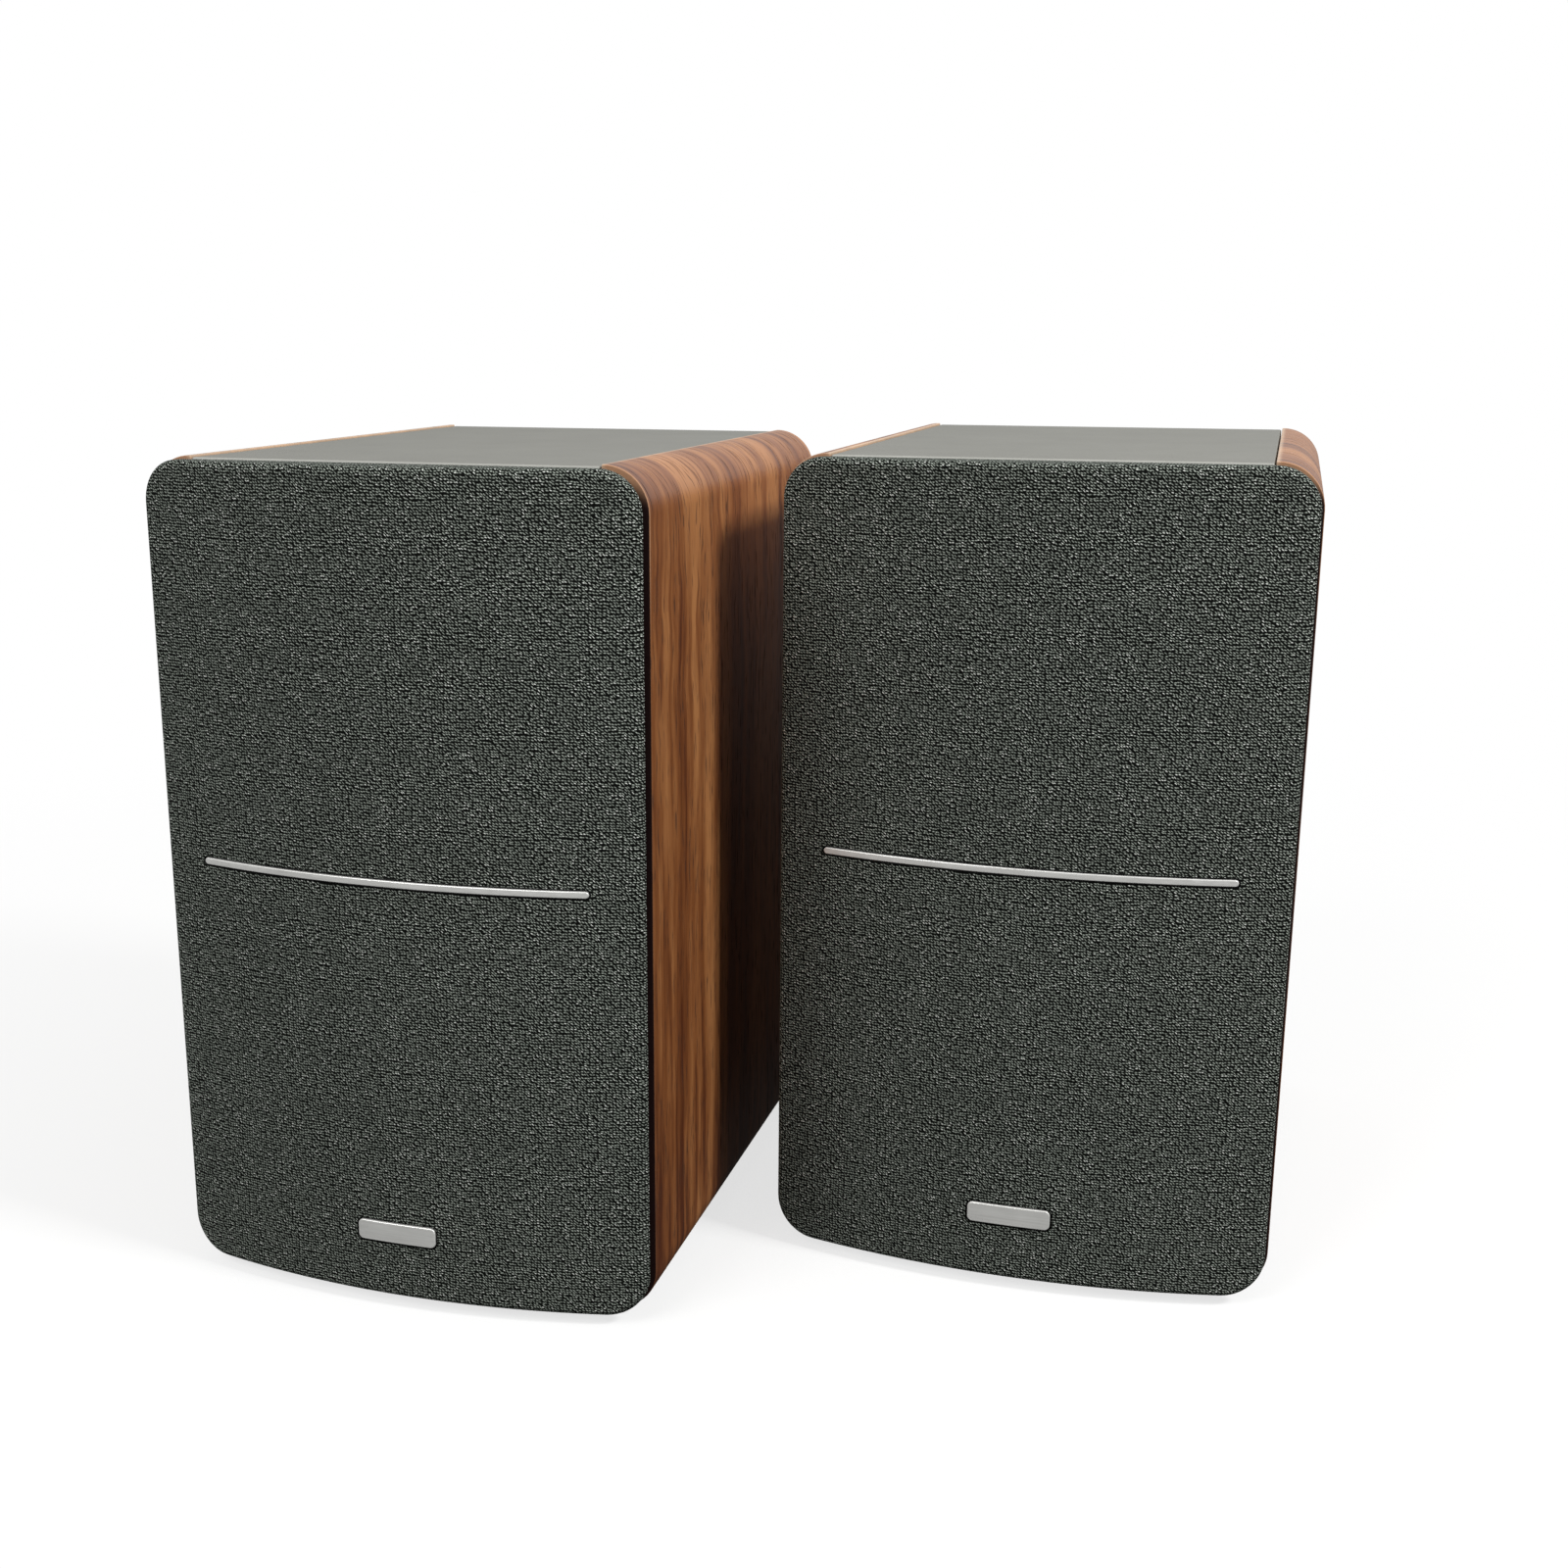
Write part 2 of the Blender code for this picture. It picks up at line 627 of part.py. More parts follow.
def bowed_outline(inset):
    corner = GRILLE_CORNER - inset
    return rounded_rectangle(2 * (GRILLE_HALF_WIDTH - inset), GRILLE_HEIGHT - 2 * inset, [corner] * 4)


def bowed_place(back):
    """The thickness and the middle depth of a block from in front of the bow to a back face."""
    front = -(GRILLE_FRONT + OVERSHOOT)
    return back - front, (0.0, (front + back) / 2, GRILLE_MIDDLE)


def window_outlines():
    """The frame's two windows, with corners so round that each peg keeps a web of frame around it."""
    half_width = GRILLE_HALF_WIDTH - FRAME_INSET - FRAME_RIM
    lowest = GRILLE_MIDDLE - GRILLE_HEIGHT / 2 + FRAME_INSET + FRAME_RIM
    highest = GRILLE_MIDDLE + GRILLE_HEIGHT / 2 - FRAME_INSET - FRAME_RIM
    web = PEG_RADIUS + PEG_WEB
    across = half_width - PEG_X
    along = highest - PEG_HEIGHTS[1]
    total = across + along + web
    corner = total + math.sqrt(total**2 - (across**2 + along**2 - web**2))
    outlines = []
    for bottom, top in ((lowest, TRIM_Z - FRAME_CROSSBAR / 2), (TRIM_Z + FRAME_CROSSBAR / 2, highest)):
        radius = min(corner, half_width - SEAM, (top - bottom) / 2 - SEAM)
        centre = (0.0, (bottom + top) / 2 - GRILLE_MIDDLE)
        outlines.append(rounded_rectangle(2 * half_width, top - bottom, [radius] * 4, centre))
    return outlines


def grille_frame(speaker):
    depth, place = bowed_place(-GRILLE_STANDOFF)
    mesh = extruded("grille_frame", bowed_outline(FRAME_INSET), depth, window_outlines())
    frame = add_part(speaker, "grille_frame", mesh, "black_plastic", place, FRONT)
    combine(frame, bow_cylinder(speaker, "frame_bow", FRAME_INSET), "INTERSECT")
    pegs = shapes("pegs", rods=peg_rods(-GRILLE_STANDOFF - BITE, PEG_ENGAGEMENT, PEG_RADIUS))
    combine(frame, add_helper(speaker, "pegs", pegs), "UNION")


def grille_cloth(speaker):
    depth, place = bowed_place(-GRILLE_STANDOFF)
    mesh = extruded("grille_cloth", bowed_outline(0.0), depth)
    cloth = add_part(speaker, "grille_cloth", mesh, "grille_cloth", place, FRONT)
    combine(cloth, bow_cylinder(speaker, "cloth_bow", 0.0), "INTERSECT")
    inside_depth, inside_place = bowed_place(-GRILLE_STANDOFF + OVERSHOOT)
    inside_mesh = extruded("cloth_inside", bowed_outline(CLOTH_THICKNESS), inside_depth)
    inside = add_helper(speaker, "cloth_inside", inside_mesh, inside_place, FRONT)
    combine(inside, bow_cylinder(speaker, "inside_bow", CLOTH_THICKNESS), "INTERSECT")
    combine(cloth, inside, "DIFFERENCE")
    slot = obround(TRIM_LENGTH + 2 * SEAM, TRIM_HEIGHT + 2 * SEAM)
    slot_place = (place[0], place[1], TRIM_Z)
    slot_mesh = extruded("trim_slot", slot, depth - 2 * BITE)
    combine(cloth, add_helper(speaker, "trim_slot", slot_mesh, slot_place, FRONT), "DIFFERENCE")


def grille_trim(speaker):
    """A slim metal bar let into a slot in the cloth, following the bow."""
    depth, place = bowed_place(-GRILLE_STANDOFF)
    mesh = extruded("grille_trim", obround(TRIM_LENGTH, TRIM_HEIGHT), depth)
    trim = add_part(speaker, "grille_trim", mesh, "satin_metal", (place[0], place[1], TRIM_Z), FRONT)
    combine(trim, bow_cylinder(speaker, "trim_front", -TRIM_PROUD), "INTERSECT")
    combine(trim, bow_cylinder(speaker, "trim_back", CLOTH_THICKNESS), "DIFFERENCE")


# Woofer


def basket_profile():
    floor = BASKET_WALL - BASKET_DEPTH
    hole = WINDING_RADIUS + BASKET_HOLE_CLEARANCE
    ledge = BASKET_POT - BASKET_WALL - SPIDER_LAND
    return [
        (FLANGE_RADIUS, FLANGE_THICKNESS),
        (FLANGE_RADIUS, 0.0),
        (BASKET_RADIUS, 0.0),
        (BASKET_RADIUS, -BASKET_COLLAR),
        (BASKET_POT, -SPIDER_DEPTH),
        (BASKET_POT, -BASKET_DEPTH),
        (hole, -BASKET_DEPTH),
        (hole, floor),
        (ledge, floor),
        (ledge, -SPIDER_DEPTH),
        (BASKET_POT - BASKET_WALL, -SPIDER_DEPTH),
        (BASKET_BORE, -BASKET_COLLAR),
        (BASKET_BORE, FLANGE_THICKNESS),
    ]


def woofer_basket(speaker, place):
    basket = turned_part(speaker, "woofer_basket", basket_profile(), "painted_steel", place, closed=True)
    work = bmesh.new()
    low = WINDOW_MARGIN - SPIDER_DEPTH
    high = -(BASKET_COLLAR + WINDOW_MARGIN)
    inner = BASKET_POT - BASKET_WALL - WINDOW_MARGIN
    outer = BASKET_RADIUS + OVERSHOOT
    size = Matrix.Diagonal((outer - inner, WINDOW_WIDTH, high - low, 1.0))
    shift = Matrix.Translation(((inner + outer) / 2, 0.0, (low + high) / 2))
    for number in range(BASKET_WINDOWS):
        spin = Matrix.Rotation(number * 2 * math.pi / BASKET_WINDOWS, 4, "Z")
        bmesh.ops.create_cube(work, size=1.0, matrix=spin @ shift @ size)
    mesh = bpy.data.meshes.new("basket_windows")
    work.to_mesh(mesh)
    work.free()
    combine(basket, add_helper(speaker, "basket_windows", mesh, place, FRONT), "DIFFERENCE")


def motor_profile():
    """The pole and yoke, the ring magnet and the top plate, bonded into one motor around the coil's slot."""
    pole = FORMER_INNER_RADIUS - VOICE_GAP
    plate_bore = WINDING_RADIUS + VOICE_GAP
    return [
        (0.0, PLATE_FRONT),
        (pole, PLATE_FRONT),
        (pole, YOKE_FRONT),
        (MAGNET_BORE, YOKE_FRONT),
        (MAGNET_BORE, PLATE_BACK),
        (plate_bore, PLATE_BACK),
        (plate_bore, PLATE_FRONT),
        (PLATE_RADIUS, PLATE_FRONT),
        (PLATE_RADIUS, PLATE_BACK),
        (MAGNET_RADIUS, PLATE_BACK),
        (MAGNET_RADIUS, YOKE_FRONT),
        (PLATE_RADIUS, YOKE_FRONT),
        (PLATE_RADIUS, YOKE_FRONT - YOKE_THICKNESS),
        (0.0, YOKE_FRONT - YOKE_THICKNESS),
    ]


def coil_profile():
    winding_top = PLATE_FRONT + WINDING_OVERHANG
    winding_end = PLATE_BACK - WINDING_OVERHANG
    return [
        (FORMER_RADIUS, CONE_BACK - SEAM),
        (FORMER_RADIUS, winding_top),
        (WINDING_RADIUS, winding_top),
        (WINDING_RADIUS, winding_end),
        (FORMER_INNER_RADIUS, winding_end),
        (FORMER_INNER_RADIUS, CONE_BACK - SEAM),
    ]


def spider_profile():
    """A corrugated ring from the coil's former to the basket's ledge."""
    inner = FORMER_RADIUS + SEAM
    outer = BASKET_POT - BASKET_WALL - SEAM
    ledge = BASKET_POT - BASKET_WALL - SPIDER_LAND
    base = SEAM - SPIDER_DEPTH
    folds = 2 * SPIDER_WAVES
    waves = [
        (inner + (ledge - inner) * fold / folds, base + SPIDER_WAVE_HEIGHT * (fold % 2))
        for fold in range(folds + 1)
    ]
    lower = waves + [(outer, base)]
    upper = [(radius, height + SPIDER_THICKNESS) for radius, height in lower]
    return upper + lower[::-1]


def cone_profile():
    """A one-piece cone: flat rim, sloping wall, a domed cap over the coil and a short neck behind it."""
    neck_inner = FORMER_RADIUS + SEAM
    neck_outer = neck_inner + CONE_THICKNESS
    cap_radius = neck_outer + CONE_THICKNESS
    cap_base = CONE_BACK + 2 * CONE_THICKNESS
    front = arc_points(cap_radius, CAP_HEIGHT, cap_base, CAP_STEPS)
    inside = arc_points(neck_inner, CAP_HEIGHT + CONE_THICKNESS, CONE_BACK, CAP_STEPS)
    rim = [
        (CONE_RADIUS - CONE_LIP, FLANGE_THICKNESS),
        (CONE_RADIUS, FLANGE_THICKNESS),
        (CONE_RADIUS, FLANGE_THICKNESS - CONE_THICKNESS),
        (CONE_RADIUS - CONE_LIP, FLANGE_THICKNESS - CONE_THICKNESS),
    ]
    neck = [
        (neck_outer, CONE_BACK),
        (neck_outer, CONE_BACK - CONE_NECK),
        (neck_inner, CONE_BACK - CONE_NECK),
    ]
    return front + rim + neck + inside[::-1]


def surround_profile():
    """A half-roll of rubber from the flange to the rim of the cone, with a flat lip on each."""
    base = FLANGE_THICKNESS + SEAM
    middle = CONE_RADIUS + ROLL_WIDTH / 2
    upper = [(CONE_RADIUS - CONE_LIP, base + RUBBER_THICKNESS)]
    lower = [(CONE_RADIUS - CONE_LIP, base)]
    for step in range(ROLL_STEPS + 1):
        angle = math.pi * (1 - step / ROLL_STEPS)
        reach = ROLL_WIDTH / 2 * math.cos(angle)
        rise = math.sin(angle)
        upper.append((middle + reach, base + RUBBER_THICKNESS + ROLL_HEIGHT * rise))
        inner_reach = (ROLL_WIDTH / 2 - RUBBER_THICKNESS) * math.cos(angle)
        lower.append((middle + inner_reach, base + ROLL_HEIGHT * rise))
    upper.append((BASKET_BORE + SURROUND_LAND, base + RUBBER_THICKNESS))
    lower.append((BASKET_BORE + SURROUND_LAND, base))
    return upper + lower[::-1]


def woofer(speaker):
    place = (0.0, WOOFER_SEAT_Y, WOOFER_Z)
    woofer_basket(speaker, place)
    turned_part(speaker, "woofer_magnet", motor_profile(), "ferrite", place, steps=SMALL_STEPS)
    coil = coil_profile()
    turned_part(speaker, "woofer_voice_coil", coil, "copper", place, closed=True, steps=SMALL_STEPS)
    turned_part(speaker, "woofer_spider", spider_profile(), "woven_spider", place, closed=True)
    turned_part(speaker, "woofer_cone", cone_profile(), "paper", place)
    turned_part(speaker, "woofer_surround", surround_profile(), "rubber", place, closed=True)


# Tweeter and port


def tweeter_plate_profile():
    mouth = TWEETER_RADIUS - TWEETER_MOUTH_MARGIN
    return [
        (TWEETER_RADIUS, TWEETER_THICKNESS),
        (TWEETER_RADIUS, 0.0),
        (TWEETER_COLLAR_RADIUS, 0.0),
        (TWEETER_COLLAR_RADIUS, -TWEETER_COLLAR_DEPTH),
        (TWEETER_BORE, -TWEETER_COLLAR_DEPTH),
        (TWEETER_BORE, TWEETER_THROAT_RISE - TWEETER_COLLAR_DEPTH),
        (mouth, TWEETER_THICKNESS),
    ]


def dome_profile():
    base = -TWEETER_COLLAR_DEPTH
    top = base + DOME_THICKNESS
    outside = arc_points(DOME_RADIUS, DOME_HEIGHT, top, DOME_STEPS)
    inside = arc_points(DOME_RADIUS - DOME_THICKNESS, DOME_HEIGHT, base, DOME_STEPS)
    rim = [(DOME_RADIUS + DOME_RIM, top), (DOME_RADIUS + DOME_RIM, base)]
    return outside + rim + inside[::-1]


def tweeter_magnet_profile():
    front = -(TWEETER_COLLAR_DEPTH + SEAM)
    back = front - TWEETER_MAGNET_DEPTH
    return [
        (0.0, front),
        (TWEETER_MAGNET_RADIUS, front),
        (TWEETER_MAGNET_RADIUS, back + TWEETER_MAGNET_CHAMFER),
        (TWEETER_MAGNET_RADIUS - TWEETER_MAGNET_CHAMFER, back),
        (0.0, back),
    ]


def tweeter(speaker):
    place = (0.0, TWEETER_SEAT_Y, TWEETER_Z)
    turned_part(speaker, "tweeter_plate", tweeter_plate_profile(), "black_plastic", place, closed=True)
    turned_part(speaker, "tweeter_dome", dome_profile(), "silk", place, steps=SMALL_STEPS)
    turned_part(speaker, "tweeter_magnet", tweeter_magnet_profile(), "ferrite", place, steps=SMALL_STEPS)


def port_tube(speaker):
    """A straight tube with a flange and a flared mouth in the baffle's upper inner corner."""
    profile = [
        (PORT_FLANGE_RADIUS, PORT_FLANGE_THICKNESS),
        (PORT_FLANGE_RADIUS, 0.0),
        (PORT_TUBE_RADIUS, 0.0),
        (PORT_TUBE_RADIUS, -PORT_LENGTH),
        (PORT_RADIUS, -PORT_LENGTH),
        (PORT_RADIUS, 0.0),
        (PORT_TUBE_RADIUS, PORT_FLANGE_THICKNESS),
    ]
    place = (-speaker.outer * PORT_X, BAFFLE_RECESS - SEAM, PORT_Z)
    turned_part(speaker, "port_tube", profile, "black_plastic", place, closed=True, steps=SMALL_STEPS)


# Spring terminals


def lever_outline():
    """A sprung thumb lever seen from the side, around its hinge: barrel, shoulder, sloping face and tip."""
    start = math.pi / 2
    turn = math.radians(LEVER_BARREL_END) - start
    barrel = []
    for step in range(LEVER_BARREL_STEPS + 1):
        angle = start + turn * step / LEVER_BARREL_STEPS
        barrel.append((LEVER_BARREL * math.cos(angle), LEVER_BARREL * math.sin(angle)))
    return [LEVER_SHOULDER, *barrel, LEVER_HEEL, LEVER_TOE, LEVER_TIP]


def terminals(speaker):
    """The recessed cup with its two levers, on the back panel or on the amplifier's plate."""
    seat = AMP_FACE if speaker.powered else CABINET_DEPTH
    inner = seat + SEAM
    outer = inner + CUP_FLANGE
    flange = block(0.0, CUP_Z, CUP_WIDTH, CUP_HEIGHT, inner, outer)
    cup = add_part(speaker, "terminal_cup", shapes("terminal_cup", [flange]), "black_plastic")
    body = block(0.0, CUP_Z, *CUP_BODY, inner - CUP_DEPTH, inner + BITE)
    combine(cup, add_helper(speaker, "cup_body", shapes("cup_body", [body])), "UNION")
    hinge_z = CUP_Z + LEVER_HINGE_RISE
    hinge_y = outer - LEVER_HINGE_DEPTH
    pocket_top = hinge_z + LEVER_BARREL + LEVER_TOP_GAP
    pocket_bottom = CUP_Z - POCKET_DOWN
    pocket_size = (POCKET_WIDTH, pocket_top - pocket_bottom)
    pocket_z = (pocket_top + pocket_bottom) / 2
    pockets = []
    for name, side, finish in (("red_lever", -1, "red_plastic"), ("black_lever", 1, "black_plastic")):
        x = side * LEVER_SPACING / 2
        pockets.append(block(x, pocket_z, *pocket_size, outer - POCKET_DEPTH, outer + OVERSHOOT))
        mesh = extruded(name, lever_outline(), POCKET_WIDTH - 2 * LEVER_SIDE_GAP)
        add_part(speaker, name, mesh, finish, (x, hinge_y, hinge_z), SIDE_VIEW)
    combine(cup, add_helper(speaker, "pockets", shapes("pockets", pockets)), "DIFFERENCE")


# Boards and transformer


def circuit_board(speaker, name, size, middle_z, boss_length, extras):
    """A board on four bosses that stand on the back panel's inside, with its components on the front."""
    width, height = size
    back = BACK_INSIDE - SEAM - boss_length
    front = back - BOARD_THICKNESS
    board = add_part(
        speaker, name, shapes(name, [block(0.0, middle_z, width, height, front, back)]), "circuit_board"
    )
    across = width / 2 - BOARD_BOSS_INSET
    up = height / 2 - BOARD_BOSS_INSET
    bosses = [
        ((x, back - BITE, middle_z + z), (x, BACK_INSIDE - SEAM, middle_z + z), BOARD_BOSS_RADIUS)
        for x in (-across, across)
        for z in (-up, up)
    ]
    blocks, rods = extras(front + BITE, middle_z)
    helper = shapes(f"{name}_components", blocks, bosses + rods)
    combine(board, add_helper(speaker, f"{name}_components", helper), "UNION")


def amp_components(front, middle_z):
    sink_width, sink_height, sink_depth = HEAT_SINK
    sink = block(0.0, middle_z, sink_width, sink_height, front - sink_depth, front)
    cap_z = middle_z - sink_height / 2 - CAPACITOR_RADIUS * 2
    caps = [
        ((x, front - CAPACITOR_LENGTH, cap_z), (x, front, cap_z), CAPACITOR_RADIUS)
        for x in (-CAPACITOR_SPACING / 2, CAPACITOR_SPACING / 2)
    ]
    return [sink], caps


def crossover_components(front, middle_z):
    caps = [
        ((x, front - FILTER_CAP_LENGTH, middle_z), (x, front, middle_z), FILTER_CAP_RADIUS)
        for x in (-FILTER_CAP_SPACING / 2, FILTER_CAP_SPACING / 2)
    ]
    return [], caps


def transformer(speaker):
    base_y = BACK_INSIDE - TRANSFORMER_SETBACK
    base_z = FLOOR_Z + BOTTOM_THICKNESS + SEAM
    base = TRANSFORMER_BASE[2]
    core_middle = base_z + base - BITE + TRANSFORMER_CORE[2] / 2

    def centred(size, middle_z):
        return block(0.0, middle_z, size[0], size[2], base_y - size[1] / 2, base_y + size[1] / 2)

    mesh = shapes("transformer", [centred(TRANSFORMER_BASE, base_z + base / 2)])
    body = add_part(speaker, "transformer", mesh, "core_steel")
    for name, size in (("transformer_core", TRANSFORMER_CORE), ("transformer_bobbin", TRANSFORMER_BOBBIN)):
        combine(body, add_helper(speaker, name, shapes(name, [centred(size, core_middle)])), "UNION")


# Amplifier plate and sockets


def amp_plate(speaker):
    middle_z = (AMP_BOTTOM + AMP_TOP) / 2
    outline = rectangle(2 * AMP_HALF_WIDTH, AMP_TOP - AMP_BOTTOM)
    mesh = extruded("amp_plate", outline, AMP_THICKNESS, back_holes(speaker, middle_z))
    place = (0.0, CABINET_DEPTH + SEAM + AMP_THICKNESS / 2, middle_z)
    add_part(speaker, "amp_plate", mesh, "painted_steel", place, FRONT)


def input_jacks(speaker):
    inner = AMP_FACE + SEAM
    outer = inner + JACK_FLANGE
    flange = block(0.0, JACK_Z, JACK_SIZE, JACK_SIZE, inner, outer)
    jacks = add_part(speaker, "input_jacks", shapes("input_jacks", [flange]), "black_plastic")
    half = JACK_SPACING / 2
    places = [(x, JACK_Z + z) for x in (-half, half) for z in (-half, half)]
    barrels = [((x, outer - BITE, z), (x, outer + JACK_LENGTH, z), JACK_RADIUS) for x, z in places]
    body = block(0.0, JACK_Z, *JACK_BODY, inner - JACK_DEPTH, inner + BITE)
    end = outer + JACK_LENGTH
    holes = [
        ((x, end - JACK_HOLE_DEPTH, z), (x, end + OVERSHOOT, z), JACK_HOLE_RADIUS) for x, z in places
    ]
    combine(jacks, add_helper(speaker, "jack_body", shapes("jack_body", [body])), "UNION")
    combine(jacks, add_helper(speaker, "jack_barrels", shapes("jack_barrels", rods=barrels)), "UNION")
    combine(jacks, add_helper(speaker, "jack_holes", shapes("jack_holes", rods=holes)), "DIFFERENCE")


def power_inlet(speaker):
    """A two-pin mains socket and the well of the power switch, moulded as one block."""
    inner = AMP_FACE + SEAM
    outer = inner + INLET_FLANGE
    flange = block(0.0, INLET_Z, INLET_WIDTH, INLET_HEIGHT, inner, outer)
    inlet = add_part(speaker, "power_inlet", shapes("power_inlet", [flange]), "black_plastic")
    body = block(0.0, INLET_Z, *INLET_BODY, inner - INLET_DEPTH, inner + BITE)
    combine(inlet, add_helper(speaker, "inlet_body", shapes("inlet_body", [body])), "UNION")
    recess_floor = outer - INLET_RECESS_DEPTH
    recess = extruded(
        "inlet_recess", obround(INLET_RECESS_WIDTH, INLET_RECESS_HEIGHT), INLET_RECESS_DEPTH + OVERSHOOT
    )
    recess_y = recess_floor + (INLET_RECESS_DEPTH + OVERSHOOT) / 2
    recess_place = (-INLET_OFFSET, recess_y, INLET_Z)
    combine(inlet, add_helper(speaker, "inlet_recess", recess, recess_place, FRONT), "DIFFERENCE")
    well_size = (ROCKER_WIDTH + 2 * ROCKER_GAP, 2 * (ROCKER_ARC_RADIUS + ROCKER_GAP))
    well = block(ROCKER_OFFSET, INLET_Z, *well_size, outer - ROCKER_WELL_DEPTH, outer + OVERSHOOT)
    combine(inlet, add_helper(speaker, "rocker_well", shapes("rocker_well", [well])), "DIFFERENCE")
    pins = []
    for side in (-1, 1):
        x = side * INLET_PIN_SPACING / 2 - INLET_OFFSET
        start = (x, recess_floor - BITE, INLET_Z)
        end = (x, recess_floor + INLET_PIN_LENGTH, INLET_Z)
        pins.append((start, end, INLET_PIN_RADIUS))
    combine(inlet, add_helper(speaker, "inlet_pins", shapes("inlet_pins", rods=pins)), "UNION")


def rocker_outline():
    """The switch's rocker seen from the side, around its pivot, at rest with its lower end pressed."""
    end_angle = math.asin(ROCKER_END / ROCKER_ARC_RADIUS)
    back_angle = -math.asin(ROCKER_BACK / ROCKER_ARC_RADIUS)
    upper = []
    for step in range(ROCKER_ARC_STEPS + 1):
        angle = end_angle + (back_angle - end_angle) * step / ROCKER_ARC_STEPS
        upper.append(ROCKER_ARC_RADIUS * Vector((math.sin(angle), math.cos(angle))))
    lower = [Vector((out, -up)) for out, up in upper[::-1]]
    level = [Vector((ROCKER_MIDDLE, 0.0)), *upper, *lower]
    tilt = Matrix.Rotation(-math.radians(ROCKER_TILT), 2)
    return [tilt @ point for point in level]


def power_rocker(speaker):
    mesh = extruded("power_rocker", rocker_outline(), ROCKER_WIDTH)
    pivot = (ROCKER_OFFSET, AMP_FACE + SEAM + INLET_FLANGE - ROCKER_SINK, INLET_Z)
    add_part(speaker, "power_rocker", mesh, "black_plastic", pivot, SIDE_VIEW)


# Side controls


def control_slab(speaker, name, margin, inside, outside, make):
    """An upright rounded slab between two depths in the right side, wider than the dish by a margin."""
    width = 2 * (DISH_HALF_WIDTH + margin)
    mesh = extruded(name, obround(width, width + 2 * KNOB_PITCH), outside - inside)
    return make(speaker, name, mesh, ((inside + outside) / 2, CONTROL_Y, CONTROL_Z), SIDE_VIEW)


def control_rods(start_x, end_x, radius):
    return [
        ((start_x, CONTROL_Y, CONTROL_Z + z), (end_x, CONTROL_Y, CONTROL_Z + z), radius)
        for z in KNOB_HEIGHTS.values()
    ]


def cut_side_for_controls(speaker, panel):
    past = CONTROL_FACE + OVERSHOOT
    inside = CONTROL_FACE - SIDE_THICKNESS - OVERSHOOT
    opening = control_slab(speaker, "control_opening", DISH_WALL + SEAM, inside, past, add_helper)
    combine(panel, opening, "DIFFERENCE")
    rebate_depth = CONTROL_FACE - DISH_FLANGE_THICKNESS - SEAM
    rebate_margin = DISH_WALL + DISH_FLANGE + SEAM
    rebate = control_slab(speaker, "control_rebate", rebate_margin, rebate_depth, past, add_helper)
    combine(panel, rebate, "DIFFERENCE")


def control_panel(speaker):
    """A moulded dish, flush with the side panel, whose floor the three control shafts come through."""

    def add_dish(owner, name, mesh, place, turn):
        return add_part(owner, name, mesh, "black_plastic", place, turn)

    dish = control_slab(speaker, "control_panel", DISH_WALL, DISH_BACK, CONTROL_FACE - BITE, add_dish)
    flange_back = CONTROL_FACE - DISH_FLANGE_THICKNESS
    flange_margin = DISH_WALL + DISH_FLANGE
    flange = control_slab(speaker, "dish_flange", flange_margin, flange_back, CONTROL_FACE, add_helper)
    combine(dish, flange, "UNION")
    hollow = control_slab(speaker, "dish_hollow", 0.0, DISH_FLOOR, CONTROL_FACE + OVERSHOOT, add_helper)
    combine(dish, hollow, "DIFFERENCE")
    holes = control_rods(DISH_BACK - OVERSHOOT, DISH_FLOOR + OVERSHOOT, SHAFT_RADIUS + SHAFT_CLEARANCE)
    combine(dish, add_helper(speaker, "shaft_holes", shapes("shaft_holes", rods=holes)), "DIFFERENCE")


def control_board(speaker):
    """The small board behind the dish, with three round potentiometers and their shafts."""
    pot_front = DISH_BACK - SEAM
    pot_back = pot_front - POT_DEPTH
    half_width = POT_RADIUS_OUTER + CONTROL_BOARD_MARGIN
    half_height = KNOB_PITCH + half_width
    low = (pot_back - BOARD_THICKNESS, CONTROL_Y - half_width, CONTROL_Z - half_height)
    high = (pot_back, CONTROL_Y + half_width, CONTROL_Z + half_height)
    board = add_part(speaker, "control_board", shapes("control_board", [(low, high)]), "circuit_board")
    pots = control_rods(pot_back - BITE, pot_front, POT_RADIUS_OUTER)
    combine(board, add_helper(speaker, "pots", shapes("pots", rods=pots)), "UNION")
    shaft_end = DISH_FLOOR + KNOB_LIFT + KNOB_BORE_DEPTH - SHAFT_END_GAP
    shafts = control_rods(pot_front - BITE, shaft_end, SHAFT_RADIUS)
    combine(board, add_helper(speaker, "shafts", shapes("shafts", rods=shafts)), "UNION")


def knobs(speaker):
    bore = SHAFT_RADIUS + SHAFT_CLEARANCE
    profile = [
        (0.0, KNOB_HEIGHT),
        (KNOB_RADIUS - KNOB_TAPER - KNOB_ROUNDING, KNOB_HEIGHT),
        (KNOB_RADIUS - KNOB_TAPER, KNOB_HEIGHT - KNOB_ROUNDING),
        (KNOB_RADIUS, 0.0),
        (bore, 0.0),
        (bore, KNOB_BORE_DEPTH),
        (0.0, KNOB_BORE_DEPTH),
    ]
    for name, rise in KNOB_HEIGHTS.items():
        place = (DISH_FLOOR + KNOB_LIFT, CONTROL_Y, CONTROL_Z + rise)
        turned_part(speaker, f"{name}_knob", profile, "black_plastic", place, RIGHT, steps=SMALL_STEPS)


# The two speakers


def common_parts(speaker):
    outer_panel = side_panel(speaker, "side_panel_outer", speaker.outer)
    side_panel(speaker, "side_panel_inner", -speaker.outer)
    flat_panels(speaker)
    back_panel(speaker)
    front_baffle(speaker)
    feet(speaker)
    grille_frame(speaker)
    grille_cloth(speaker)
    grille_trim(speaker)
    woofer(speaker)
    tweeter(speaker)
    port_tube(speaker)
    terminals(speaker)
    return outer_panel


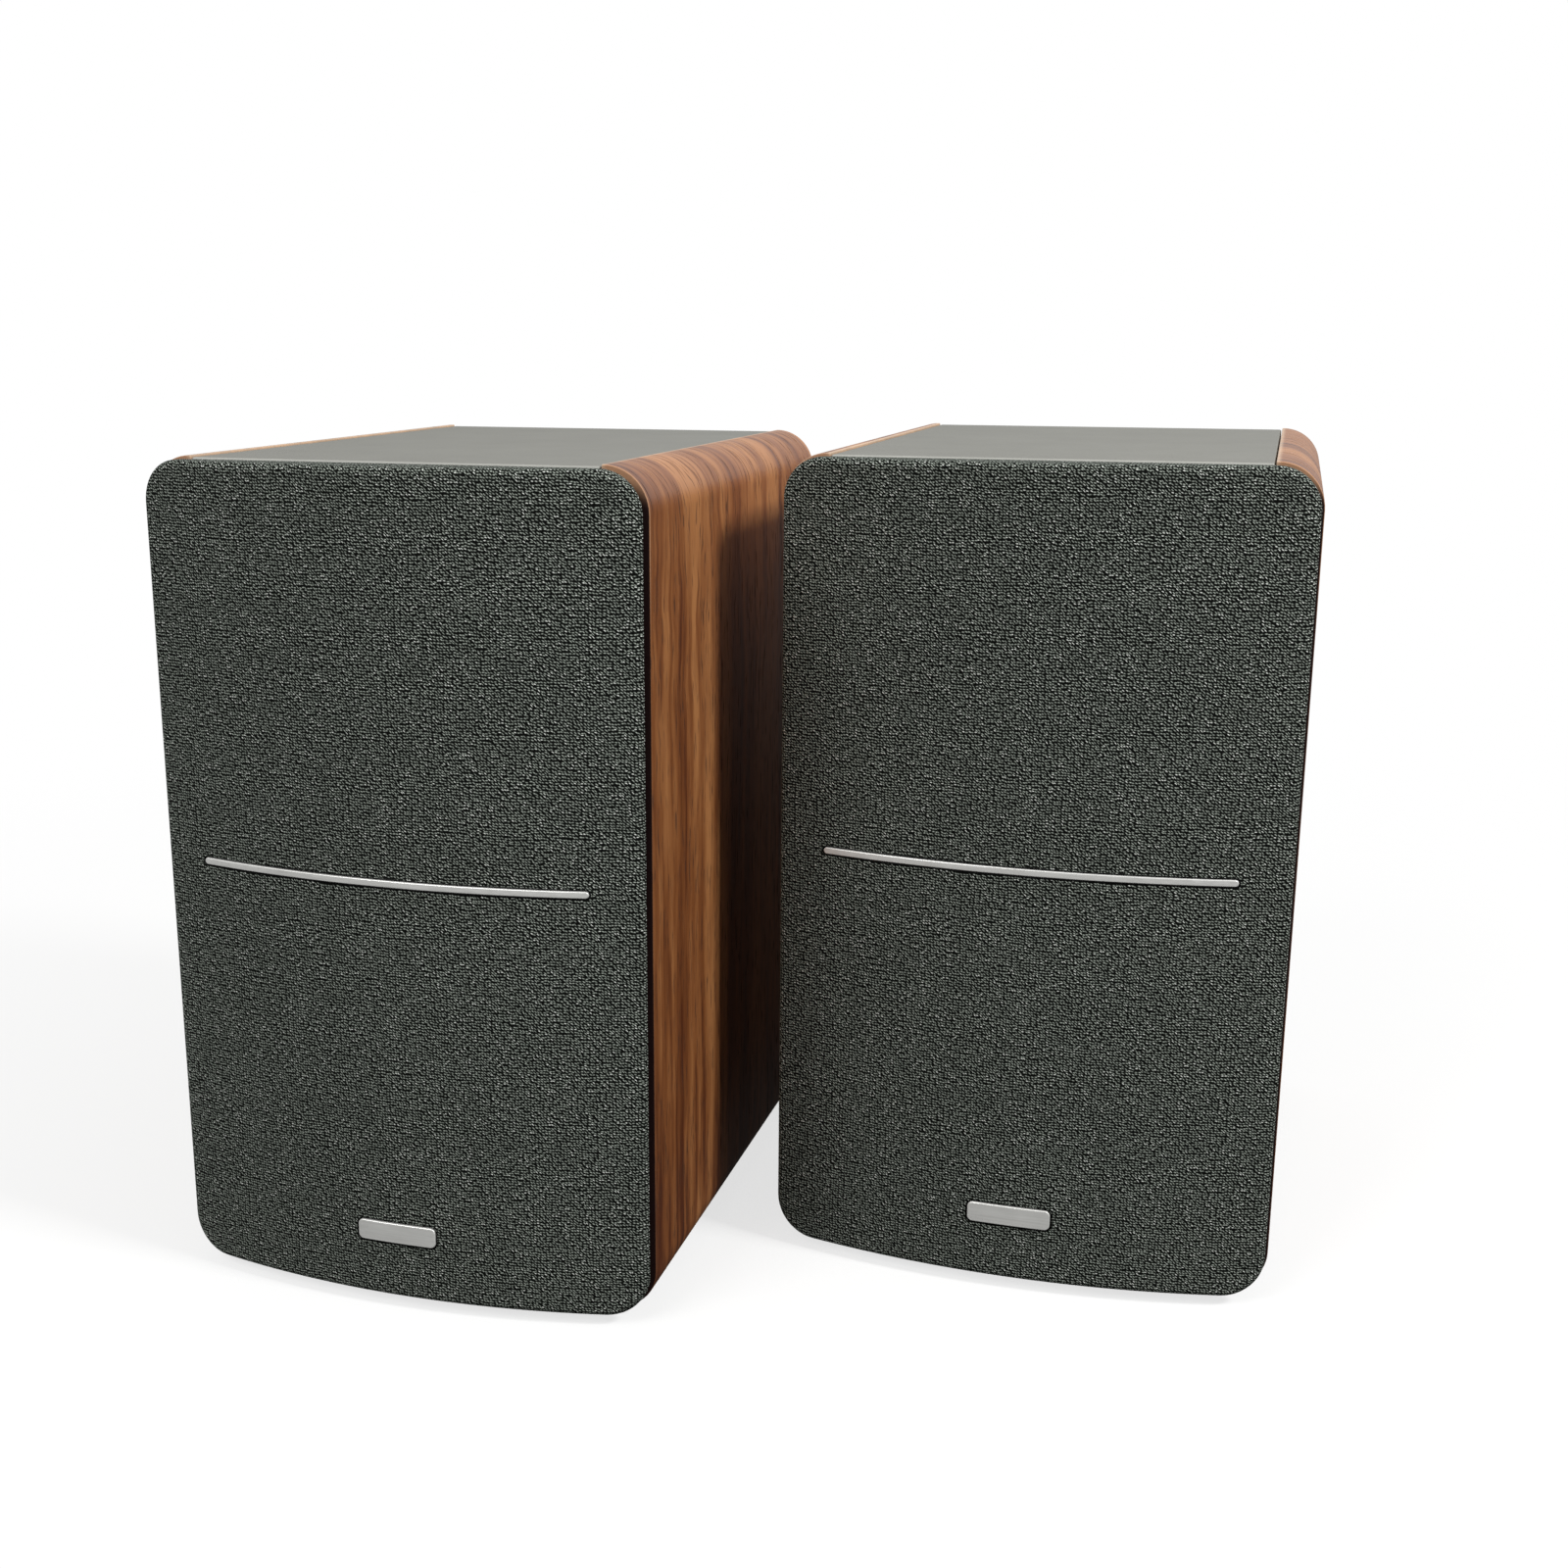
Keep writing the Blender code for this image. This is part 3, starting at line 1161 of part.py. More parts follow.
def passive_parts(speaker):
    size = (CROSSOVER_WIDTH, CROSSOVER_HEIGHT)
    middle_z = CUP_Z - CUP_HEIGHT / 2 - CROSSOVER_DROP - CROSSOVER_HEIGHT / 2
    circuit_board(speaker, "crossover", size, middle_z, CROSSOVER_BOSS_LENGTH, crossover_components)


def powered_parts(speaker, outer_panel):
    amp_plate(speaker)
    input_jacks(speaker)
    power_inlet(speaker)
    power_rocker(speaker)
    size = (AMP_BOARD_WIDTH, AMP_BOARD_HEIGHT)
    middle_z = BAFFLE_MIDDLE + AMP_BOARD_RISE
    circuit_board(speaker, "amp_board", size, middle_z, AMP_BOSS_LENGTH, amp_components)
    transformer(speaker)
    cut_side_for_controls(speaker, outer_panel)
    control_panel(speaker)
    control_board(speaker)
    knobs(speaker)


def build():
    clear_scene()
    middle_y = (PAIR_STAGGER + CABINET_DEPTH + REAR_REACH - GRILLE_FRONT - TRIM_PROUD) / 2
    left = Speaker("left", -1, (-PAIR_SPACING / 2, -middle_y, 0.0))
    common_parts(left)
    passive_parts(left)
    right = Speaker("right", 1, (PAIR_SPACING / 2, PAIR_STAGGER - middle_y, 0.0))
    powered_parts(right, common_parts(right))
    bpy.context.view_layer.update()


build()
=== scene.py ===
# %% [markdown]
# A pair of desktop speakers, dressed for the studio.
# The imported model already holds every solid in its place, so it is loaded as a fixed frame. Smooth and
# detailed pieces are then laid where the plain solids are, and every surface gets a procedural finish.
# No size is changed: each piece is measured from the node that it stands for.

# %% Load the frame
import math

import bmesh
import bpy
from mathutils import Euler, Matrix, Vector
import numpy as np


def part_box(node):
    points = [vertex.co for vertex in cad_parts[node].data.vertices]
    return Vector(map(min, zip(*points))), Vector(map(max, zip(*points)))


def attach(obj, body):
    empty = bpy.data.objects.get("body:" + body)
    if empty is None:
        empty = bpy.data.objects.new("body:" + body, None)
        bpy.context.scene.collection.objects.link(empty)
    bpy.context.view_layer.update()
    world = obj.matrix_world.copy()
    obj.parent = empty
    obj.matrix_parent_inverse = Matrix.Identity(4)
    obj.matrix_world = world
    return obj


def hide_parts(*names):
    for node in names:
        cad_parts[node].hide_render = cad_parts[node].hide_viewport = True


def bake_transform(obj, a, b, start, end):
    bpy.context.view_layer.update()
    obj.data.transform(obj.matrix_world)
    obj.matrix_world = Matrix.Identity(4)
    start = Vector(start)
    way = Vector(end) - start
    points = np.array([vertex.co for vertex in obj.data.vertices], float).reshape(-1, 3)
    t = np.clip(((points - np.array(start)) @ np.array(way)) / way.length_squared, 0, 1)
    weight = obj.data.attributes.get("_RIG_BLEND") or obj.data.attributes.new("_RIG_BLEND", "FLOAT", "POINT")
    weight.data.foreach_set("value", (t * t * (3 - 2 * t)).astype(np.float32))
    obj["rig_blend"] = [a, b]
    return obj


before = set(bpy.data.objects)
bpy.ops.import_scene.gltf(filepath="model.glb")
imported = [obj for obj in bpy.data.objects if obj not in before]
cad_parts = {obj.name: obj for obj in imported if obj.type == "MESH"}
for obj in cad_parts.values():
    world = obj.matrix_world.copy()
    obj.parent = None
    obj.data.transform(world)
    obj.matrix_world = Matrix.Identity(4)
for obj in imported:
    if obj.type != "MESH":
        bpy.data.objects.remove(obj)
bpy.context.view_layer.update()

MM = 0.001

# %% [markdown]
# The two cabinets are alike, and each one has its own place: the left speaker stands nearer to the camera.
# A small class keeps the name, the outward side and the place of each, read from its top panel, so that
# every later step can be written once and run for both.

# %% Where each speaker stands
TINY = 0.00001


class Speaker:
    """One speaker of the pair, and where its cabinet stands."""

    def __init__(self, name, outward):
        low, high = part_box(f"{name}_top_panel")
        self.name = name
        self.outward = outward
        self.middle = (low.x + high.x) / 2
        self.half_top = (high.x - low.x) / 2
        self.top = high.z
        self.front = low.y
        self.back = high.y
        self.cabinet = f"{name}_cabinet"
        self.grille = f"{name}_grille"

    def node(self, piece):
        """The full name of one of this speaker's nodes."""
        return f"{self.name}_{piece}"


LEFT = Speaker("left", -1)
RIGHT = Speaker("right", 1)
SPEAKERS = (LEFT, RIGHT)
for speaker in SPEAKERS:
    reach = [round(place / MM, 1) for place in (speaker.front, speaker.back)]
    print(speaker.name, "cabinet lies between", reach, "mm from front to back")

# %% [markdown]
# The photograph is a studio cut-out: white all round, a soft lamp high on the right and a larger, weaker
# one at the front left, which the left speaker keeps off the lower corner of the right one. The world is
# white where the camera looks at it, and dimmer as a source of light: it glows from above, and two pale
# walls, behind and at the front left, give the metal and the lids something to mirror.

# %% Fill and lamps
FILL_ABOVE = 0.46
FILL_BELOW = 0.03
FILL_TOP = 0.6
FILL_HORIZON = -0.25
WALLS = {
    "behind": {"aim": (0.0, 1.0, 0.0), "power": 0.42},
    "front left": {"aim": (-0.66, -0.75, 0.0), "power": 0.45},
}
WALL_NEAR = 0.35
WALL_FULL = 0.95
WALL_FOOT = -0.26
WALL_HEAD = 0.02
BACKDROP_STRENGTH = 1.0
LAMP_AIM = Vector((0.0, 0.0, 0.12))
LAMP_DISTANCE = 1.6
LAMPS = {
    "key_lamp": {"turn": 76, "rise": 41, "size": 0.3, "power": 24.6},
    "side_lamp": {"turn": -25, "rise": 40, "size": 0.7, "power": 12.8},
}


def world_range(nodes, settings):
    """A Map Range node of the world with its limits set."""
    made = nodes.new("ShaderNodeMapRange")
    for socket, value in settings.items():
        made.inputs[socket].default_value = value
    return made


def add_fill():
    """A white world that lights the object with a dimmer white, and with pale walls on two sides."""
    world = bpy.data.worlds.new("studio fill")
    world.use_nodes = True
    nodes = world.node_tree.nodes
    link = world.node_tree.links.new
    path = nodes.new("ShaderNodeLightPath")
    direction = nodes.new("ShaderNodeTexCoord").outputs["Generated"]
    parts = nodes.new("ShaderNodeSeparateXYZ")
    rise = {"From Min": FILL_HORIZON, "From Max": FILL_TOP, "To Min": FILL_BELOW, "To Max": FILL_ABOVE}
    fill = world_range(nodes, rise)
    reach = world_range(nodes, {"From Min": WALL_FOOT, "From Max": WALL_HEAD})
    strength = world_range(nodes, {"To Max": BACKDROP_STRENGTH})
    nodes["Background"].inputs["Color"].default_value = (1.0, 1.0, 1.0, 1.0)
    link(direction, parts.inputs["Vector"])
    link(parts.outputs["Z"], fill.inputs["Value"])
    link(parts.outputs["Z"], reach.inputs["Value"])
    total = fill.outputs["Result"]
    for wall in WALLS.values():
        toward = nodes.new("ShaderNodeVectorMath")
        toward.operation = "DOT_PRODUCT"
        toward.inputs[1].default_value = wall["aim"]
        glow = world_range(nodes, {"From Min": WALL_NEAR, "From Max": WALL_FULL, "To Max": wall["power"]})
        added = nodes.new("ShaderNodeMath")
        added.operation = "MULTIPLY_ADD"
        link(direction, toward.inputs[0])
        link(toward.outputs["Value"], glow.inputs["Value"])
        link(glow.outputs["Result"], added.inputs[0])
        link(reach.outputs["Result"], added.inputs[1])
        link(total, added.inputs[2])
        total = added.outputs["Value"]
    link(total, strength.inputs["To Min"])
    link(path.outputs["Is Camera Ray"], strength.inputs["Value"])
    link(strength.outputs["Result"], nodes["Background"].inputs["Strength"])
    bpy.context.scene.world = world


def add_lamp(name, turn, rise, size, power):
    """A soft square lamp, turned by some degrees from the front to the right, and raised by some."""
    turn = math.radians(turn)
    rise = math.radians(rise)
    flat = math.cos(rise)
    towards = Vector((flat * math.sin(turn), -flat * math.cos(turn), math.sin(rise)))
    bpy.ops.object.light_add(type="AREA", location=LAMP_AIM + LAMP_DISTANCE * towards)
    lamp = bpy.context.object
    lamp.name = name
    lamp.rotation_euler = towards.to_track_quat("Z", "Y").to_euler()
    lamp.data.size = size
    lamp.data.energy = power
    lamp.visible_camera = False
    print(name, "at", [round(value, 2) for value in lamp.location])


add_fill()
for name, setting in LAMPS.items():
    add_lamp(name, **setting)
bpy.context.scene.view_settings.view_transform = "Standard"

# %% [markdown]
# The camera was found by matching corners of the cabinets with the same corners in the photograph. It
# stands in front of the right speaker, looks a little down and to the left, and is shifted sideways so
# that both speakers sit in the middle of the square frame.

# %% Camera
CAMERA_PLACE = (0.14606, -0.56846, 0.27476)
CAMERA_TURN = (math.radians(76.199), 0.0, math.radians(16.86))
CAMERA_LENS = 42.749
CAMERA_SENSOR = 36.0
CAMERA_SHIFT = 0.0416

bpy.ops.object.select_all(action="DESELECT")
bpy.ops.object.camera_add(location=CAMERA_PLACE, rotation=CAMERA_TURN)
camera = bpy.context.object
camera.name = "studio_camera"
camera.data.sensor_width = CAMERA_SENSOR
camera.data.lens = CAMERA_LENS
camera.data.shift_x = CAMERA_SHIFT
bpy.context.scene.camera = camera
print("camera lens in mm:", camera.data.lens)

# %% [markdown]
# Modelling by script follows the hand: add a primitive, put its place into its mesh, go into edit mode,
# pick edges or faces, and use an operator on them. The next helpers are those few moves. Picking is done
# by a test on each edge or face, because nobody clicks here.

# %% Adding and picking
X_AXIS = 0
Y_AXIS = 1
Z_AXIS = 2
NEARLY_ONE = 0.999


def clear_selection():
    """Leaves edit mode and deselects everything."""
    if bpy.context.mode != "OBJECT":
        bpy.ops.object.mode_set(mode="OBJECT")
    bpy.ops.object.select_all(action="DESELECT")


def activate(piece):
    """Makes one piece the only selected one."""
    clear_selection()
    piece.select_set(True)
    bpy.context.view_layer.objects.active = piece


def settle(name):
    """Names the new piece and puts its place, turn and size into its mesh."""
    piece = bpy.context.object
    piece.name = name
    piece.data.name = name
    bpy.ops.object.transform_apply(location=True, rotation=True, scale=True)
    return piece


def block(name, low, high):
    """A cube brought to the two given corners."""
    clear_selection()
    low = Vector(low)
    high = Vector(high)
    bpy.ops.mesh.primitive_cube_add(size=1, location=(low + high) / 2)
    bpy.context.object.scale = high - low
    return settle(name)


def choose(piece, kind, test):
    """Goes into edit mode and selects the edges or faces that pass the test."""
    activate(piece)
    bpy.ops.object.mode_set(mode="EDIT")
    bpy.ops.mesh.select_mode(type=kind)
    bpy.ops.mesh.select_all(action="DESELECT")
    mesh = bmesh.from_edit_mesh(piece.data)
    for part in mesh.edges if kind == "EDGE" else mesh.faces:
        if test(part):
            part.select_set(True)
    bmesh.update_edit_mesh(piece.data)


def edge_middle(edge):
    """The middle point of an edge."""
    return (edge.verts[0].co + edge.verts[1].co) / 2


def runs_along(axis):
    """A test for edges that are parallel to one axis."""
    return lambda edge: abs((edge.verts[0].co - edge.verts[1].co).normalized()[axis]) > NEARLY_ONE


def lies_at(axis, place):
    """A test for edges that lie in a plane across one axis."""
    return lambda edge: all(abs(point.co[axis] - place) < TINY for point in edge.verts)


def sharper_than(degrees):
    """A test for edges whose two faces meet at more than an angle."""
    return lambda edge: edge.calc_face_angle(0.0) > math.radians(degrees)


print("edges within", round(math.degrees(math.acos(NEARLY_ONE)), 1), "degrees of an axis run along it")

# %% [markdown]
# Real edges are never knife sharp, and the eye reads a size from the light on them. So nearly every piece
# is finished by rounding: a large round where the real one is rounded, and a fraction of a millimetre on
# all other corners. Holes are made with a Boolean modifier that is applied at once.

# %% Rounding, cutting and finishing
SMOOTH_ANGLE = math.radians(32)
SHARP_DEGREES = 30


def round_edges(piece, radius, segments, test):
    """Bevels the edges that pass the test."""
    choose(piece, "EDGE", test)
    bpy.ops.mesh.bevel(offset=radius, segments=segments, affect="EDGES")
    bpy.ops.object.mode_set(mode="OBJECT")


def soften(piece, radius, segments=2):
    """Takes the knife edge off every sharp corner."""
    round_edges(piece, radius, segments, sharper_than(SHARP_DEGREES))


def rounded_block(name, low, high, axis, radius, segments):
    """A block with its four edges along one axis rounded, as for a plate with round corners."""
    piece = block(name, low, high)
    round_edges(piece, radius, segments, runs_along(axis))
    return piece


def apply_modifier(piece, kind, **settings):
    """Adds a modifier, sets it up and applies it."""
    activate(piece)
    modifier = piece.modifiers.new(kind.lower(), kind)
    for setting, value in settings.items():
        setattr(modifier, setting, value)
    bpy.ops.object.modifier_apply(modifier=modifier.name)


def cut(piece, cutter):
    """Takes the cutter's shape out of the piece."""
    apply_modifier(piece, "BOOLEAN", operation="DIFFERENCE", solver="EXACT", object=cutter)
    bpy.data.objects.remove(cutter)


def slice_across(piece, axis, places):
    """Cuts the faces of a piece by planes across one axis, so that it can be curved."""
    normal = [0.0, 0.0, 0.0]
    normal[axis] = 1.0
    choose(piece, "FACE", lambda face: True)
    for place in places:
        point = [0.0, 0.0, 0.0]
        point[axis] = place
        bpy.ops.mesh.select_all(action="SELECT")
        bpy.ops.mesh.bisect(plane_co=point, plane_no=normal)
    bpy.ops.object.mode_set(mode="OBJECT")


def dress(piece, finish, slot, body, *nodes):
    """Shades a finished piece, gives it its material, says what it rides on and hides the nodes it stands
    for.
    """
    activate(piece)
    bpy.ops.object.shade_smooth_by_angle(angle=SMOOTH_ANGLE)
    apply_modifier(piece, "WEIGHTED_NORMAL", keep_sharp=True)
    piece.data.materials.clear()
    piece.data.materials.append(finish)
    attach(piece, body)
    if nodes:
        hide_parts(*nodes)
    print(piece.name, "has", len(piece.data.polygons), "faces")
    return piece


def dress_node(node, finish):
    """Gives a node that keeps its own shape a better material."""
    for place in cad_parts[node].material_slots:
        place.material = finish


print("corners of more than", SHARP_DEGREES, "degrees are softened")

# %% [markdown]
# A finish is a node tree, and long node trees are hard to read as lists of links. So one small class wraps
# a socket: adding or multiplying two of them adds a Math node, and its node method adds any other node.
# The formulas of the finishes below then read as plain arithmetic. A Mix node has a set of sockets for
# each kind of data, all with the same names, so those for colours are picked by number. In the finishes,
# tones are the stops of a colour ramp, a pair for a roughness is a base and a reach, and a pair for a
# relief is the depth and the strength of a bump.

# %% Shader arithmetic
MIX_SHARE = 0
MIX_FIRST = 6
MIX_SECOND = 7
MIX_COLOUR = 2


class Signal:
    """An output socket of a node, which can be used in Python arithmetic."""

    def __init__(self, tree, socket):
        self.tree = tree
        self.socket = socket

    def node(self, kind, settings, inputs, output=0):
        """Adds a node: its settings are set first, then its sockets get their values or links."""
        made = self.tree.nodes.new(kind)
        for setting, value in settings.items():
            if setting == "stops":
                while len(made.color_ramp.elements) < len(value):
                    made.color_ramp.elements.new(1.0)
                for stop, (place, colour) in zip(made.color_ramp.elements, value):
                    stop.position = place
                    stop.color = (*colour, 1.0)
            else:
                setattr(made, setting, value)
        for name, value in inputs.items():
            if isinstance(value, Signal):
                self.tree.links.new(value.socket, made.inputs[name])
            else:
                made.inputs[name].default_value = value
        return Signal(self.tree, made.outputs[output])

    def math(self, operation, *values):
        """Adds a Math node for some values."""
        return self.node("ShaderNodeMath", {"operation": operation}, dict(enumerate(values)))

    def __add__(self, other):
        return self.math("ADD", self, other)

    def __radd__(self, other):
        return self.math("ADD", other, self)

    def __sub__(self, other):
        return self.math("SUBTRACT", self, other)

    def __rsub__(self, other):
        return self.math("SUBTRACT", other, self)

    def __mul__(self, other):
        return self.math("MULTIPLY", self, other)

    def __rmul__(self, other):
        return self.math("MULTIPLY", other, self)

    def __truediv__(self, other):
        return self.math("DIVIDE", self, other)

    def __pow__(self, other):
        return self.math("POWER", self, other)

    def __gt__(self, other):
        return self.math("GREATER_THAN", self, other)

    def sine(self):
        """The sine of a value."""
        return self.math("SINE", self)

    def size(self):
        """A value without its sign."""
        return self.math("ABSOLUTE", self)

    def centred(self):
        """A value from 0 to 1, moved so that it swings about 0."""
        return self - 0.5

    def scaled(self, base, reach):
        """A base, and this value times a reach on top of it."""
        return base + self * reach

    def axis(self, name):
        """One coordinate of a vector."""
        return self.node("ShaderNodeSeparateXYZ", {}, {"Vector": self}, name)

    def length(self):
        """How long a vector is."""
        return self.node("ShaderNodeVectorMath", {"operation": "LENGTH"}, {0: self}, "Value")

    def vector(self, x, y, z):
        """Three values as one vector."""
        return self.node("ShaderNodeCombineXYZ", {}, {"X": x, "Y": y, "Z": z})

    def stretched(self, x, y, z):
        """A vector with each axis scaled by its own factor."""
        return self.node("ShaderNodeVectorMath", {"operation": "MULTIPLY"}, {0: self, 1: (x, y, z)})

    def noise(self, scale=1.0, detail=2.0, roughness=0.5):
        """Cloudy noise from 0 to 1, read at this vector."""
        sockets = {"Vector": self, "Scale": scale, "Detail": detail, "Roughness": roughness}
        return self.node("ShaderNodeTexNoise", {"normalize": True}, sockets, "Fac")

    def ramp(self, *stops):
        """A colour looked up along a list of (place, colour)."""
        return self.node("ShaderNodeValToRGB", {"stops": stops}, {"Fac": self}, "Color")

    def between(self, low, high):
        """0 below low, 1 above high, and smooth in between."""
        settings = {"interpolation_type": "SMOOTHSTEP"}
        sockets = {"Value": self, "From Min": low, "From Max": high}
        return self.node("ShaderNodeMapRange", settings, sockets)

    def mixed(self, first, second):
        """A colour between two colours, with this value as the share of the second."""
        sockets = {MIX_SHARE: self, MIX_FIRST: first, MIX_SECOND: second}
        return self.node("ShaderNodeMix", {"data_type": "RGBA"}, sockets, MIX_COLOUR)

    def bump(self, distance, strength=1.0):
        """A normal from this value read as a height."""
        return self.node("ShaderNodeBump", {}, {"Height": self, "Distance": distance, "Strength": strength})


class Finish:
    """A new material with its main shader and the coordinates of the piece."""

    def __init__(self, name, **constants):
        self.material = bpy.data.materials.new(name)
        self.material.use_nodes = True
        self.tree = self.material.node_tree
        self.shader = self.tree.nodes["Principled BSDF"]
        for socket, value in constants.items():
            self.shader.inputs[socket.replace("_", " ")].default_value = value
        coordinates = self.tree.nodes.new("ShaderNodeTexCoord")
        self.place = Signal(self.tree, coordinates.outputs["Object"])
        self.flat = Signal(self.tree, coordinates.outputs["UV"])

    def feed(self, **signals):
        """Links varying values to the shader, and returns the finished material."""
        for socket, signal in signals.items():
            self.tree.links.new(signal.socket, self.shader.inputs[socket.replace("_", " ")])
        return self.material


print("shader helpers ready")

# %% [markdown]
# The floor is one large pale sheet. Its cover fades with the distance from the speakers, so that it runs
# out into the white behind without an edge, and near them it is strong enough to take their shadow.

# %% Studio floor
FLOOR_SIZE = 6.0
FLOOR_TONES = ((0.3, (0.80, 0.80, 0.79)), (0.7, (0.84, 0.84, 0.83)))
FLOOR_GRAIN = 700.0
FLOOR_COVER = 0.28
FLOOR_NEAR = 0.15
FLOOR_FAR = 0.75


def studio_paper():
    """Matt pale paper that thins out away from the middle."""
    finish = Finish("studio paper", Roughness=1.0, Specular_IOR_Level=0.0)
    distance = finish.place.stretched(1, 1, 0).length()
    cover = (1 - distance.between(FLOOR_NEAR, FLOOR_FAR)) * FLOOR_COVER
    tone = finish.place.noise(FLOOR_GRAIN).ramp(*FLOOR_TONES)
    return finish.feed(Base_Color=tone, Alpha=cover)


clear_selection()
bpy.ops.mesh.primitive_plane_add(size=FLOOR_SIZE)
floor = settle("studio_floor")
floor.data.materials.append(studio_paper())
floor.visible_diffuse = False
floor.visible_glossy = False
print("floor is", FLOOR_SIZE, "m wide")

# %% [markdown]
# The side panels are walnut veneer. Its grain stands upright, wavers a little, and goes over the rounded
# edge on to the top. Noise that is stretched along the grain can give each feature of the wood: wide and
# fine bands, lines, threads, dark streaks and short pores. First come the coordinates that the grain
# follows. The cut ends at the back look another way, so there the grain is read across the board.

# %% Walnut grain
END_SKIN = 0.1 * MM
WAVER_STRETCH = (10, 14, 8)
WAVER_DETAIL = 1.5
WAVER_SWING = 9 * MM
FLAME_STRETCH = (40, 50, 48)
FLAME_HEIGHTS = (150 * MM, 200 * MM)
FLAME_LEAST = 0.4
FLAME_SWING = 5.5 * MM
GRAIN_LAYERS = {
    "bands": {"stretch": (6, 95, 5), "detail": 1.5, "limits": (0.42, 0.58)},
    "lines": {"stretch": (12, 300, 8), "detail": 2.0, "roughness": 0.6},
    "mottle": {"stretch": (50, 260, 42), "detail": 2.0},
    "threads": {"stretch": (24, 1300, 45), "detail": 1.0},
    "streaks": {"stretch": (9, 260, 14), "detail": 1.0, "limits": (0.57, 0.68)},
    "pores": {"stretch": (50, 1500, 120), "detail": 1.0, "limits": (0.60, 0.70)},
}


def walnut_grain(place, speaker):
    """Coordinates that follow the wavering grain of one speaker's boards."""
    on_end = place.axis("Y") > speaker.back - END_SKIN
    behind = place.axis("Y") - speaker.front
    waver = place.stretched(*WAVER_STRETCH).noise(detail=WAVER_DETAIL).centred()
    flame = place.stretched(*FLAME_STRETCH).noise().centred()
    flame = flame * (FLAME_LEAST + place.axis("Z").between(*FLAME_HEIGHTS))
    across = behind * (1 - on_end) + place.axis("X") * on_end + waver * WAVER_SWING + flame * FLAME_SWING
    return place.vector(place.axis("X"), across, place.axis("Z"))


def grain_layer(grain, stretch, detail, roughness=0.5, limits=None):
    """Noise drawn out along the grain, and made crisp between two limits where they are given."""
    layer = grain.stretched(*stretch).noise(detail=detail, roughness=roughness)
    return layer.between(*limits) if limits else layer


print("layers of the walnut grain:", ", ".join(GRAIN_LAYERS))

# %% [markdown]
# The layers are then weighed into one tone from dark to light, together with wide leaves that follow each
# other across the board, and the tone is made darker towards the bottom. The cut front edge behind the
# grille is almost black, partly a stain and partly painted shade, which is lifted near the top where light
# reaches it. The arris beside it gets a painted highlight, strongest near the top, and a painted highlight
# also runs where the wood meets the lid.

# %% Walnut finish
WALNUT_TONES = (
    (0.14, (0.088, 0.0215, 0.0050)),
    (0.47, (0.208, 0.0690, 0.0185)),
    (0.86, (0.385, 0.1620, 0.0545)),
)
GRAIN_SHARES = {"bands": 0.26, "lines": 0.50, "mottle": 0.60, "threads": 0.22, "streaks": -0.20}
TONE_DROP = 0.37
LEAF_WIDTH = 64 * MM
LEAF_START = 29 * MM
LEAF_SOFT = 0.6
LEAF_SHARE = 0.20
# The tone is made darker towards the bottom and lighter towards the top.
HEIGHT_TONE_MIDDLE = 120 * MM
HEIGHT_TONE_SLOPE = 0.9
PORE_COLOUR = (0.030, 0.0100, 0.0038, 1.0)
PORE_SHARE = 0.75
# Painted highlight on the front arris, strongest near the top.
ARRIS_HIGHLIGHT_COLOUR = (0.46, 0.245, 0.130, 1.0)
ARRIS_HIGHLIGHT_WIDTH = 0.9 * MM
ARRIS_HIGHLIGHT_HEIGHTS = (190 * MM, 225 * MM)
ARRIS_HIGHLIGHT_SHARES = (0.12, 0.75)
# Painted highlight where the wood meets the lid.
LID_LINE_HIGHLIGHT_COLOUR = (0.80, 0.62, 0.44, 1.0)
LID_LINE_HIGHLIGHT_WIDTH = 1.9 * MM
LID_LINE_HIGHLIGHT_SHARE = 0.6
# Partly a stain and partly painted shade on the cut front edge, lifted near the top where light reaches it.
STAIN_AND_SHADE_COLOUR = (0.018, 0.0014, 0.0010, 1.0)
STAIN_AND_SHADE_WIDTH = 0.12 * MM
STAIN_AND_SHADE_HEIGHTS = (229 * MM, 238 * MM)
STAIN_AND_SHADE_SHARES = (1.0, -0.8)
WALNUT_ROUGHNESS = 0.38
LINE_ROUGHNESS = 0.14
PORE_ROUGHNESS = 0.25
STAIN_AND_SHADE_ROUGHNESS = 0.4
LINE_HEIGHT = 0.4
LACQUER = (0.3, -0.25)
WALNUT_RELIEF = (0.05 * MM, 0.5)


def walnut_tone(place, grain, layers):
    """How light the wood is, from its leaves, its height and the layers of its grain."""
    leaf = ((grain.axis("Y") - LEAF_START) * (2 * math.pi / LEAF_WIDTH)).sine()
    # The tone is made darker towards the bottom and lighter towards the top.
    rise = (place.axis("Z") - HEIGHT_TONE_MIDDLE) * HEIGHT_TONE_SLOPE
    tone = leaf.between(-LEAF_SOFT, LEAF_SOFT) * LEAF_SHARE + rise - TONE_DROP
    for name, share in GRAIN_SHARES.items():
        tone = tone + layers[name] * share
    return tone


